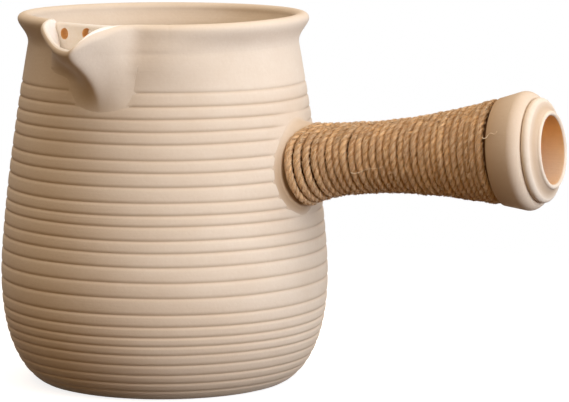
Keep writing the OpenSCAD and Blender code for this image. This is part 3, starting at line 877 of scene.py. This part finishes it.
class KETTLE_OT_stage(bpy.types.Operator):
    """Set up the floor, the lights and the camera"""
    bl_idname = "kettle.stage"
    bl_label = "Stage"

    def execute(self, context):
        scene = context.scene
        scene.view_settings.view_transform = "Standard"
        self.add_camera(scene)
        self.add_lights(scene)
        self.add_world(scene)
        side, below = 4.0, 0.05 * MM
        mesh = bpy.data.meshes.new("floor")
        corners = [(-side, -side, 0), (side, -side, 0), (side, side, 0), (-side, side, 0)]
        mesh.from_pydata(corners, [], [(0, 1, 2, 3)])
        mesh.materials.append(floor_material(scene.kettle_colours.floor))
        floor = bpy.data.objects.new("floor", mesh)
        floor.location.z = -below
        scene.collection.objects.link(floor)
        return {"FINISHED"}

    @staticmethod
    def add_camera(scene):
        """A long lens at the height and angle of the view."""
        heading, pitch = (-0.4221, 0.9065), 7.537 * DEGREE
        data = bpy.data.cameras.new("camera")
        data.sensor_fit = "HORIZONTAL"
        data.sensor_width = 36.0
        data.lens = 193.2
        data.clip_start = 0.05
        camera = bpy.data.objects.new("camera", data)
        camera.location = (467.6 * MM, -908.4 * MM, 195.1 * MM)
        level = math.cos(pitch)
        ahead = Vector((heading[0] * level, heading[1] * level, -math.sin(pitch)))
        camera.rotation_euler = ahead.to_track_quat("-Z", "Y").to_euler()
        scene.collection.objects.link(camera)
        scene.camera = camera

    @staticmethod
    def add_lights(scene):
        """A broad cool key from the right, a warm fill from the front and a faint light from behind."""
        lights = (("key_light", 80, 10, 0.8, 15.2, (0.83, 0.895, 1.0)),
                  ("fill_light", 22, 12, 0.7, 1.7, (1.0, 0.64, 0.24)),
                  ("back_light", 200, 10, 0.9, 0.5, (1.0, 0.8, 0.55)))
        middle, distance = Vector((0, 0, 70 * MM)), 1.2
        for name, around, elevation, size, power, tone in lights:
            data = bpy.data.lights.new(name, "AREA")
            data.shape = "DISK"
            data.size = size
            data.energy = power
            data.color = tone
            light = bpy.data.objects.new(name, data)
            a, e = around * DEGREE, elevation * DEGREE
            away = Vector((math.sin(a) * math.cos(e), -math.cos(a) * math.cos(e), math.sin(e)))
            light.location = middle + away * distance
            light.rotation_euler = (-away).to_track_quat("-Z", "Y").to_euler()
            scene.collection.objects.link(light)

    @staticmethod
    def add_world(scene):
        """Dim warm room light, stronger from above, seen as white."""
        horizon, zenith, gather = (0.06, 0.03, 0.006), (1.95, 1.64, 1.32), 2.5
        world = bpy.data.worlds.new("room")
        scene.world = world
        world.use_nodes = True
        tree = world.node_tree
        facing = lay(tree, "ShaderNodeTexCoord").outputs["Generated"]
        up = lay(tree, "ShaderNodeSeparateXYZ", {"Vector": facing}).outputs["Z"]
        above = maths(tree, "POWER", spread(tree, up, 0.0, 1.0), gather)
        light = tint(tree, above, horizon, zenith)
        room = tint(tree, seen_directly(tree), light, (1, 1, 1))
        tree.links.new(room, tree.nodes["Background"].inputs["Color"])


class KETTLE_OT_vessel(bpy.types.Operator):
    """Make the turned clay vessel"""
    bl_idname = "kettle.vessel"
    bl_label = "Vessel"

    def execute(self, context):
        scene = context.scene
        vessel, spout, handle = scene.kettle_vessel, scene.kettle_spout, scene.kettle_handle
        lip_z, neck_z, sill = lip_edge(vessel), neck_height(vessel), window_sill(vessel, spout)
        half = spout.half_angle

        # Columns of the whole wall, close together at a faint nick in the rim, and of the spout's window
        wall_columns, window_columns = 330, 44
        nick_at, nick_width, nick_in, nick_down = half + 4 * DEGREE, 0.7 * MM, 0.04 * MM, 0.1 * MM
        nick_columns = nick_at + np.radians([-1.5, -1, -0.6, -0.2, 0.2, 0.6, 1, 1.5])
        whole = np.sort(np.concatenate([np.linspace(half, 2 * math.pi - half, wall_columns), nick_columns]))
        window = np.linspace(2 * math.pi - half, 2 * math.pi + half, window_columns + 2)[1:-1]
        a = np.concatenate([whole, window])[None, :]
        signed = signed_angle(a)
        columns = a.shape[1]

        # Rows of the base, up the outside, over the lip, down the inside and over the floor
        neck_rows, flare_rows, lip_rows, inner_rows = 8, 21, 13, 25
        base_r = np.array([0, 0.35, 0.7, 0.93, 0.985]) * vessel.base_radius
        lower = wall_heights(vessel, sill)
        upper = np.concatenate([np.linspace(sill, neck_z, neck_rows),
                                np.linspace(neck_z, lip_z, flare_rows + 1)[1:]])
        outer_z = np.concatenate([lower, upper])
        lip_turn = np.linspace(0, math.pi, lip_rows + 2)[1:-1]
        inner_z = np.concatenate([upper[::-1], np.linspace(sill, vessel.belly_height, inner_rows + 1)[1:],
                                  np.linspace(vessel.belly_height, vessel.floor, inner_rows + 1)[1:]])
        floor_r = np.array([0.9, 0.6, 0.3, 0]) * (vessel.base_radius - vessel.wall)

        # The outside has its grooves, the clay beside the spout and the nick
        up = outer_z[:, None]
        fade = groove_fade(vessel, spout, handle, signed, up)
        cut, depth, low = groove_cut(vessel, signed, up + 0 * a)
        nick = np.exp(-(((signed - nick_at) * vessel.rim_radius) / nick_width) ** 2)
        flare = ease((up - neck_z) / (lip_z - neck_z))
        outer_r = wall_radius(vessel, outer_z)[:, None] + neck_fill(vessel, spout, signed, up)
        outer_r = outer_r - cut * fade - nick_in * flare * nick
        lip_in = vessel.lip_width * (1 - np.cos(lip_turn)) / 2
        lip_r = (vessel.rim_radius - lip_in)[:, None] - nick_in * nick
        lip_top = (lip_z + vessel.lip_height * np.sin(lip_turn))[:, None] - nick_down * nick
        inner_r = inside_radius(vessel, inner_z)[:, None]

        radii = [base_r[:, None], outer_r, lip_r, inner_r, floor_r[:, None]]
        heights = [0 * base_r[:, None], hand_turned(vessel, a, up), lip_top, inner_z[:, None],
                   vessel.floor + 0 * floor_r[:, None]]
        points = np.concatenate([turned(r, a, z) for r, z in zip(radii, heights)])
        points[..., 2] -= rim_sag(vessel, signed, points[..., 2])
        # Darker in the grooves, and painted shade on the lower part of each band, which faces down
        groove_darkening, band_painted_shade = 0.34, 0.22
        darkening_and_painted_light = np.zeros(points.shape[:2])
        outer = slice(len(base_r), len(base_r) + len(outer_z))
        darkening_and_painted_light[outer] = np.clip(groove_darkening * depth + band_painted_shade * low, 0, 1) * fade

        # The window is left open, and its sill and its two sides are closed
        sill_out = len(base_r) + len(lower)
        sill_in = len(base_r) + len(outer_z) + len(lip_turn) + len(upper) - 1
        faces = grid_faces(len(points), columns, False, True).reshape(-1, columns, 4)
        kept = np.ones(faces.shape[:2], bool)
        kept[sill_out:sill_in, len(whole) - 1:] = False
        faces = faces[kept].tolist()
        out_row, in_row = sill_out * columns, sill_in * columns
        for i in range(len(whole) - 1, columns):
            j = (i + 1) % columns
            faces.append([out_row + i, out_row + j, in_row + j, in_row + i])
        for column, flip in ((0, 1), (len(whole) - 1, -1)):
            faces += end_faces(sill_out, sill_in, len(upper) - 1, columns, column, flip)
        clays = [kettle_clay("Bisque clay")]
        piece = make_piece("clay_vessel", points, faces, clays, {"darkening_and_painted_light": darkening_and_painted_light}, sharp=60)
        settle(piece, "vessel")
        return {"FINISHED"}


class KETTLE_OT_strainer_screen(bpy.types.Operator):
    """Make the pierced screen in the neck behind the spout"""
    bl_idname = "kettle.strainer_screen"
    bl_label = "Strainer screen"

    def execute(self, context):
        scene = context.scene
        vessel, spout = scene.kettle_vessel, scene.kettle_spout
        rows_up, rows_over, columns = 18, 8, 52
        up = np.linspace(window_sill(vessel, spout), lip_edge(vessel), rows_up)
        face = np.stack([screen_face(vessel, spout, up), up], axis=1)
        back_r = np.minimum(inside_radius(vessel, up), face[:, 0] - spout.screen_top)
        back = np.stack([back_r, up], axis=1)[::-1]
        middle, half = (face[-1] + back[0]) / 2, (face[-1] - back[0]) / 2
        turn = np.linspace(0, math.pi, rows_over + 2)[1:-1, None]
        over = middle + half * np.cos(turn) + np.array([0, vessel.lip_height / 2]) * np.sin(turn)
        outline = np.concatenate([face, over, back])
        around = np.linspace(-spout.half_angle, spout.half_angle, columns)
        points = turned(outline[:, 0][:, None], around[None, :], outline[:, 1][:, None])
        points[..., 2] -= rim_sag(vessel, around[None, :], points[..., 2])
        rows = len(outline)
        first_end = [i * columns for i in range(rows)]
        last_end = [i + columns - 1 for i in first_end][::-1]
        faces = grid_faces(rows, columns, True, False).tolist() + [first_end, last_end]
        # The screen is in the paler clay, painted light
        piece = make_piece("strainer_wall", points, faces, [kettle_clay("Pale clay")])
        self.cut(context, piece, self.hole_cutter(vessel, spout))
        settle(piece, "strainer_screen")
        return {"FINISHED"}

    @staticmethod
    def hole_cutter(vessel, spout):
        """Slightly tapered pins where the holes are pierced, four in the top row and three below."""
        sides, uneven = 28, 0.01
        pin_ends = ((36 * MM, 0.92), (52 * MM, 1.06))
        draw = np.random.default_rng(3)
        turn = full_turn(sides)[:, None]
        up = np.array([0, 0, 1.0])
        points, faces = [], []
        for row, lifts in enumerate(HOLE_LIFTS):
            for i, lift in enumerate(lifts):
                place = (i - (len(lifts) - 1) / 2) * spout.hole_step
                around = place + spout.hole_turn + draw.uniform(-uneven, uneven)
                z = vessel.height - spout.hole_drop - row * spout.hole_row_step + lift * MM
                out = turned(1.0, around, 0.0)
                ring = np.cross(up, out) * np.cos(turn) + up * np.sin(turn)
                start = sides * len(points)
                faces += [[start + k for k in face] for face in closed_tube_faces(len(pin_ends), sides)]
                for reach, widen in pin_ends:
                    points.append(out * reach + up * z + ring * widen * spout.hole_width / 2)
        return make_piece("hole_cutter", np.concatenate(points), faces, [kettle_clay("Pierced clay")])

    @staticmethod
    def cut(context, piece, cutter):
        """Pierce the screen, round the edges of the holes and take the cutter away."""
        boolean = piece.modifiers.new("holes", "BOOLEAN")
        boolean.object = cutter
        boolean.solver = "EXACT"
        boolean.material_mode = "TRANSFER"
        bevel = piece.modifiers.new("worn edges", "BEVEL")
        bevel.width = 0.3 * MM
        bevel.segments = 2
        bevel.limit_method = "ANGLE"
        bevel.angle_limit = 50 * DEGREE
        context.view_layer.update()
        shaped = bpy.data.meshes.new_from_object(piece.evaluated_get(context.evaluated_depsgraph_get()))
        piece.modifiers.clear()
        piece.data = shaped
        shaped.shade_smooth()
        shaped.set_sharp_from_angle(angle=55 * DEGREE)
        bpy.data.objects.remove(cutter)


class KETTLE_OT_spout(bpy.types.Operator):
    """Make the pinched spout"""
    bl_idname = "kettle.spout"
    bl_label = "Spout"

    def execute(self, context):
        scene = context.scene
        vessel, spout = scene.kettle_vessel, scene.kettle_spout
        columns, steps, lip_steps = 121, 44, 13
        around = np.sin(np.linspace(-1, 1, columns) * math.pi / 2) * spout.half_angle
        sections = np.stack([spout_outline(vessel, spout, a, steps, lip_steps) for a in around], axis=1)
        points = turned(sections[..., 0], around[None, :], sections[..., 1])
        points[..., 2] -= rim_sag(vessel, around[None, :], points[..., 2])
        rows = len(points)
        faces = grid_faces(rows, columns, True, False).tolist()
        # The spout's inside takes the paler clay, painted light
        painted_light_inside = np.repeat(np.arange(rows) >= steps + lip_steps // 2, columns - 1).astype(int).tolist()
        for column, flip in ((0, 1), (columns - 1, -1)):
            ends = end_faces(0, rows - 1, steps - 1, columns, column, flip)
            faces += ends
            painted_light_inside += [0] * len(ends)
        clays = [kettle_clay("Bisque clay"), kettle_clay("Pale clay")]
        piece = make_piece("pinched_spout", points, faces, clays, face_materials=painted_light_inside)
        settle(piece, "spout")
        return {"FINISHED"}


class KETTLE_OT_handle_collar(bpy.types.Operator):
    """Make the clay collar luted round the handle's root"""
    bl_idname = "kettle.handle_collar"
    bl_label = "Handle collar"

    def execute(self, context):
        scene = context.scene
        vessel, handle = scene.kettle_vessel, scene.kettle_handle
        swell_share, shade_under_twine, twine_overlap = 0.88, 0.5 * MM, 0.6 * MM
        inner_depth, into_wall, fillet_bend = 3 * MM, 0.6 * MM, 2.4
        fillet_rows, cap_rows = 16, 4
        turn = full_turn(HANDLE_COLUMNS)[None, :]
        rise = collar_edge(handle, turn)
        top_r = handle.root_radius + swell_share * under_swell(handle, rise, turn) - shade_under_twine
        inner_r = np.full(turn.shape, handle.waist_radius - inner_depth)

        # Up the hollow fillet, in over the cap, and back inside the vessel's wall
        share = np.linspace(0, 1, fillet_rows)[:, None]
        fillet_r = mix(top_r + handle.collar_width, top_r, share)
        fillet_u = wall_station(vessel, handle, fillet_r, turn) + (rise + twine_overlap) * share**fillet_bend
        cap_share = np.linspace(0, 1, cap_rows + 1)[1:, None]
        cap_r = mix(top_r, inner_r, cap_share)
        cap_u = mix(fillet_u[-1:], wall_station(vessel, handle, inner_r, turn) + rise, cap_share)
        back_r = np.concatenate([cap_r[::-1], fillet_r[::-1]])
        back_u = wall_station(vessel, handle, back_r, turn) - into_wall
        radius = np.concatenate([fillet_r, cap_r, back_r])
        along = np.concatenate([fillet_u, cap_u, back_u])
        points = on_handle(handle, along, radius, turn)
        faces = grid_faces(*radius.shape, True, True)

        # Painted shade gathers towards the twine, most low down on the front
        front_turn, shade_bend, least_shade = 40 * DEGREE, 0.3, 0.3
        low_front = np.clip(np.sin(turn - front_turn), 0, 1)
        darkening_and_painted_light = np.zeros(radius.shape)
        darkening_and_painted_light[:fillet_rows] = share**shade_bend * mix(least_shade, 1.0, low_front)
        darkening_and_painted_light[fillet_rows:fillet_rows + cap_rows] = darkening_and_painted_light[fillet_rows - 1]
        piece = make_piece("root_collar", points, faces, [kettle_clay("Bisque clay")], {"darkening_and_painted_light": darkening_and_painted_light})
        settle(piece, "handle_collar")
        return {"FINISHED"}


class KETTLE_OT_handle_tube(bpy.types.Operator):
    """Make the hollow handle with its flared end"""
    bl_idname = "kettle.handle_tube"
    bl_label = "Handle tube"

    def execute(self, context):
        scene = context.scene
        vessel, handle, twine = scene.kettle_vessel, scene.kettle_handle, scene.kettle_twine
        from_wall, into_wall, step_over, probe = 1 * MM, 0.5 * MM, 0.3 * MM, 0.1 * MM
        socket_spare, round_start, round_end = 0.2 * MM, 1.25, 76
        grip_rows, flare_rows, edge_rows = 40, 18, 13
        wall, shoulder, tube_end, _ = handle_stations(vessel, handle)
        socket_end = tube_end - handle.spigot - socket_spare

        def grip(along):
            """Radius of the grip with its twine."""
            return grip_radius(vessel, handle, along)

        # Outline: under the twine, out along the bare flare, round the flange, into the socket and back
        outside = [(grip(u) - twine.width, u) for u in np.linspace(wall + from_wall, shoulder, grip_rows)]
        arc_at = tube_end - round_start * handle.flange_round
        lean = math.atan((grip(arc_at) - grip(arc_at - probe)) / probe)
        flare = [(grip(u), u) for u in np.linspace(shoulder + step_over, arc_at, flare_rows)]
        middle = (grip(arc_at) - handle.flange_round * math.cos(lean),
                  arc_at + handle.flange_round * math.sin(lean))
        edge = arc(middle, handle.flange_round, -math.degrees(lean), round_end, edge_rows + 1)[1:]
        socket = [(handle.socket_radius, tube_end), (handle.socket_radius, socket_end)]
        inside = [(grip(u) - twine.width - handle.tube_wall, u)
                  for u in np.linspace(socket_end, wall + from_wall, grip_rows)]
        outline = outside + flare + edge + socket + inside
        points, faces = revolve_on_handle(handle, outline, HANDLE_COLUMNS)

        # The first and the last row follow the vessel's wall
        turn = full_turn(HANDLE_COLUMNS)
        for row in (0, -1):
            radius = outline[row][0]
            foot = wall_station(vessel, handle, radius, turn) - into_wall
            points[row] = on_handle(handle, foot, radius, turn)

        # The clay is raw inside, painted shade lies under the twine and on the flare, and the flange's round
        # is a little darker
        bare, raw, with_painted_shade = range(3)
        flare_shade_most, flare_shade_least, edge_darkening = 1.0, 0.25, 0.34
        kind = np.where(np.arange(len(outline)) >= len(outline) - grip_rows - 1, raw, bare)
        kind[:grip_rows] = with_painted_shade
        flare_end = grip_rows + flare_rows
        darkening_and_painted_light = np.zeros(len(outline))
        darkening_and_painted_light[grip_rows:flare_end] = np.linspace(flare_shade_most, flare_shade_least, flare_rows)
        darkening_and_painted_light[flare_end:flare_end + edge_rows] = edge_darkening
        clays = [kettle_clay(name) for name in ("Bisque clay", "Raw clay", "Stained clay")]
        marks = {"darkening_and_painted_light": np.repeat(darkening_and_painted_light, HANDLE_COLUMNS)}
        piece = make_piece("flared_handle", points, faces, clays, marks, np.repeat(kind, HANDLE_COLUMNS))
        settle(piece, "handle_tube")
        return {"FINISHED"}


class KETTLE_OT_handle_end_ring(bpy.types.Operator):
    """Make the stepped ring in the handle's open end"""
    bl_idname = "kettle.handle_end_ring"
    bl_label = "Handle end ring"

    def execute(self, context):
        scene = context.scene
        vessel, handle = scene.kettle_vessel, scene.kettle_handle
        gap, bead, hollow = 0.15 * MM, 1.6 * MM, 0.35 * MM
        bore_rows, bead_rows, cove_rows, lip_rows = 8, 12, 11, 10
        bead_from, bead_to, lip_from, lip_to = -29, 75, 10, 170
        pull_at, pull_share = 0.75, 0.7
        _, _, tube_end, end = handle_stations(vessel, handle)
        foot, spigot_end = tube_end + gap, tube_end - handle.spigot
        lip = (handle.mouth_radius - handle.bore_radius) / 2
        spigot_r = handle.socket_radius - gap

        # Outline: in along the bore, back over the spigot, round the bead, along the cove and over the lip
        outline = [(handle.bore_radius, u) for u in np.linspace(end - lip, spigot_end, bore_rows)]
        outline += [(spigot_r, spigot_end), (spigot_r, foot), (handle.bead_radius - bead, foot)]
        outline += arc((handle.bead_radius - bead, foot + 0.5 * bead), bead, bead_from, bead_to, bead_rows)
        cove_from = np.array(outline[-1])
        cove_to = np.array([handle.mouth_radius, end - lip])
        pull = np.array([mix(cove_from[0], cove_to[0], pull_at), cove_from[1] + hollow])
        pulls = mix(cove_from, pull, pull_share), mix(cove_to, pull, pull_share)
        cove_t = np.linspace(0, 1, cove_rows + 1)[1:]
        outline += [tuple(curve(cove_from, *pulls, cove_to, t)) for t in cove_t]
        outline += arc((handle.mouth_radius - lip, end - lip), lip, lip_from, lip_to, lip_rows)
        points, faces = revolve_on_handle(handle, outline, HANDLE_COLUMNS)

        # The bore is raw, with painted light low on its far side, and painted shade lies in the cove
        cove_shade, bore_painted_light, painted_light_at = 0.35, 0.65, 225 * DEGREE
        row = np.arange(len(outline))
        raw = np.repeat((row < bore_rows) | (row > len(outline) - 2), HANDLE_COLUMNS).astype(int)
        darkening_and_painted_light = np.zeros((len(outline), HANDLE_COLUMNS))
        along_cove = np.linspace(0, math.pi, cove_rows)[:, None]
        darkening_and_painted_light[-lip_rows - cove_rows:-lip_rows] = cove_shade + cove_shade * np.sin(along_cove)
        darkening_and_painted_light[:bore_rows] = bore_painted_light * np.clip(np.cos(full_turn(HANDLE_COLUMNS) - painted_light_at), 0, 1) ** 2
        clays = [kettle_clay("Bisque clay"), kettle_clay("Raw clay")]
        piece = make_piece("stepped_ring", points, faces, clays, {"darkening_and_painted_light": darkening_and_painted_light}, raw)
        settle(piece, "handle_end_ring")
        return {"FINISHED"}


class KETTLE_OT_twine_wrap(bpy.types.Operator):
    """Wind the twisted jute twine round the grip"""
    bl_idname = "kettle.twine_wrap"
    bl_label = "Twine wrap"

    def execute(self, context):
        scene = context.scene
        vessel, handle, twine = scene.kettle_vessel, scene.kettle_handle, scene.kettle_twine
        colours = scene.kettle_colours
        sides, ply_apart, slow_swell, quick_swell = 20, 7, 0.05, 0.035
        valley_depth, valley_bend, valley_shade_share, valley_shade_bend = 0.16, 1.4, 0.65, 1.5
        points, _, outward, side, run = twine_path(vessel, handle, twine)
        turn = full_turn(sides)[None, :]
        phase = twine.plies / 2 * (turn - 2 * math.pi * run[:, None] / twine.lay)
        lobe = np.abs(np.cos(phase))
        slow = slow_swell * np.sin(run / (5.1 * MM) + 1) * np.sin(run / (17 * MM))
        quick = quick_swell * np.sin(run / (0.83 * MM)) * np.sin(run / (2.9 * MM) + 2)
        plump = 1 + slow + quick
        radius = twine.width / 2 * plump[:, None] * (1 - valley_depth * (1 - lobe) ** valley_bend)
        shell = tube_along(points, outward, side, radius)
        ply = np.floor(phase / math.pi + 0.5)
        # The valley mark paints shade where the yarns meet
        marks = {"run": np.repeat(run, sides), "round": np.sin(phase) + ply_apart * (ply % twine.plies),
                 "valley_shade": (1 - lobe) ** valley_shade_bend}
        material = jute_material("Jute yarn", colours.jute, colours.jute_deep, valley_shade_share)
        faces = closed_tube_faces(len(points), sides)
        piece = make_piece("wound_twine", shell, faces, [material], marks, sharp=80)
        settle(piece, "twine_wrap")
        return {"FINISHED"}


class KETTLE_OT_twine_fibres(bpy.types.Operator):
    """Add the short fibres, the long strays and the two loose strands that stand off the twine"""
    bl_idname = "kettle.twine_fibres"
    bl_label = "Twine fibres"

    def execute(self, context):
        scene = context.scene
        vessel, handle, twine = scene.kettle_vessel, scene.kettle_handle, scene.kettle_twine
        colours = scene.kettle_colours
        short_stand, long_stand = 0.16 * MM, 0.5 * MM
        strands = (((22 * MM, 34 * MM), (106, 97), 1.1 * MM), ((70 * MM, 75.5 * MM), (69, 64), 0.45 * MM))
        path = twine_path(vessel, handle, twine)
        draw = np.random.default_rng(23)
        short = self.fibre_lines(path, twine, draw, twine.fibres, twine.fibre_length, short_stand)
        long = self.fibre_lines(path, twine, draw, twine.strays, 3 * twine.fibre_length, long_stand)
        lines = [(line, twine.fibre_radius, 0) for line in np.concatenate([short, long])]
        for ends, turns, lift in strands:
            lines.append((self.loose_strand(vessel, handle, ends, turns, lift), twine.strand_radius, 1))
        shells, faces, tones, kinds, start = [], [], [], [], 0
        for line, radius, kind in lines:
            tube_faces = closed_tube_faces(len(line), FIBRE_SIDES)
            shell = self.fibre_tube(line, radius)
            faces += [[start + k for k in face] for face in tube_faces]
            kinds += [kind] * len(tube_faces)
            shells.append(shell)
            tones.append(np.full(len(shell), draw.uniform(0, 1)))
            start += len(shell)
        marks = {"run": np.concatenate(tones), "round": np.zeros(start), "valley_shade": np.zeros(start)}
        materials = [jute_material("Loose fibre", colours.fibre, colours.jute_deep, 0.0),
                     jute_material("Loose strand", colours.strand, colours.fibre, 0.0)]
        piece = make_piece("twine_fibres", np.concatenate(shells), faces, materials, marks, kinds, sharp=180)
        settle(piece)
        return {"FINISHED"}

    @staticmethod
    def fibre_lines(path, twine, draw, number, usual, stand):
        """Lines of points that follow the twine, drift across it and lift a little off it."""
        outer_half, beside_spread, drift_spread = 1.3, 0.4, 0.7
        reach_range, follow_range, lift_most, surface = (0.5, 1.5), (0.4, 1.1), 2.0, 0.525
        points, _, outward, side, run = path
        t = np.linspace(-0.5, 0.5, 5)
        seen = draw.uniform(-outer_half, outer_half, (number, 1))
        ply = draw.integers(0, twine.plies, (number, 1))
        twist = draw.integers(0, int(run[-1] / twine.lay), (number, 1))
        beside = draw.normal(0, beside_spread, (number, 1))
        start = twine.lay * ((seen - beside) / (2 * math.pi) - ply / twine.plies + twist)
        reach = usual * draw.uniform(*reach_range, (number, 1))
        at = np.clip(start + reach * t, 0, run[-1])
        i = np.rint(np.interp(at, run, np.arange(len(run)))).astype(int)
        turn = seen + 2 * math.pi * reach * t / twine.lay * draw.uniform(*follow_range, (number, 1))
        turn = turn + draw.normal(0, drift_spread, (number, 1)) * t
        loose = np.clip(t * draw.choice([-1, 1], (number, 1)), 0, 1)
        lift = surface * twine.width + stand * draw.uniform(0, lift_most, (number, 1)) * loose
        out, aside = (lift * np.cos(turn))[..., None], (lift * np.sin(turn))[..., None]
        return points[i] + outward[i] * out + side[i] * aside

    @staticmethod
    def loose_strand(vessel, handle, ends, turns, lift):
        """A slightly wavy line along the grip, between two distances from the wall and two turns."""
        steps, turn_bend, turn_wave, lift_wave = 24, 1.8, 0.03, 0.25
        wall = handle_stations(vessel, handle)[0]
        t = np.linspace(0, 1, steps)
        along = wall + mix(ends[0], ends[1], t)
        turn = np.radians(mix(turns[0], turns[1], t**turn_bend)) + turn_wave * np.sin(9 * t)
        radius = grip_radius(vessel, handle, along) + lift * (1 + lift_wave * np.sin(14 * t))
        return on_handle(handle, along, radius, turn)

    @staticmethod
    def fibre_tube(line, radius):
        """Points of a tube along a fibre, thinner towards its tip."""
        tip_share, off_line = 0.35, np.array([0.3, -0.2, 0.5])
        ahead = unit(np.gradient(line, axis=0))
        aside = unit(np.cross(ahead, ahead[:, [1, 2, 0]] + off_line))
        across = np.cross(ahead, aside)
        thin = radius * np.linspace(1, tip_share, len(line))
        return tube_along(line, aside, across, np.repeat(thin[:, None], FIBRE_SIDES, axis=1)).reshape(-1, 3)


class KETTLE_PT_panel(bpy.types.Panel):
    """Lists the kettle's pieces, sizes and colours"""
    bl_idname = "KETTLE_PT_panel"
    bl_label = "Clay kettle"
    bl_space_type = "VIEW_3D"
    bl_region_type = "UI"
    bl_category = "Kettle"

    def draw(self, context):
        for operator in OPERATORS:
            self.layout.operator(operator.bl_idname)
        for owner in GROUPS:
            box = self.layout.box()
            group = getattr(context.scene, owner)
            for name in group.__annotations__:
                box.prop(group, name)


OPERATORS = (KETTLE_OT_stage, KETTLE_OT_vessel, KETTLE_OT_strainer_screen, KETTLE_OT_spout,
             KETTLE_OT_handle_collar, KETTLE_OT_handle_tube, KETTLE_OT_handle_end_ring,
             KETTLE_OT_twine_wrap, KETTLE_OT_twine_fibres)
GROUPS = {"kettle_vessel": KettleVesselSizes, "kettle_spout": KettleSpoutSizes,
          "kettle_handle": KettleHandleSizes, "kettle_twine": KettleTwineSizes,
          "kettle_colours": KettleColours}


def register():
    """Register the groups of sizes, the operators and the panel."""
    for name, group in GROUPS.items():
        bpy.utils.register_class(group)
        setattr(bpy.types.Scene, name, bpy.props.PointerProperty(type=group))
    for kind in (*OPERATORS, KETTLE_PT_panel):
        bpy.utils.register_class(kind)


def unregister():
    """Take them away again."""
    for kind in (KETTLE_PT_panel, *reversed(OPERATORS)):
        bpy.utils.unregister_class(kind)
    for name, group in GROUPS.items():
        delattr(bpy.types.Scene, name)
        bpy.utils.unregister_class(group)


def main():
    """Build the kettle and its stage."""
    register()
    bpy.ops.kettle.stage()
    bpy.ops.kettle.vessel()
    bpy.ops.kettle.strainer_screen()
    bpy.ops.kettle.spout()
    bpy.ops.kettle.handle_collar()
    bpy.ops.kettle.handle_tube()
    bpy.ops.kettle.handle_end_ring()
    bpy.ops.kettle.twine_wrap()
    bpy.ops.kettle.twine_fibres()


if __name__ == "__main__":
    main()
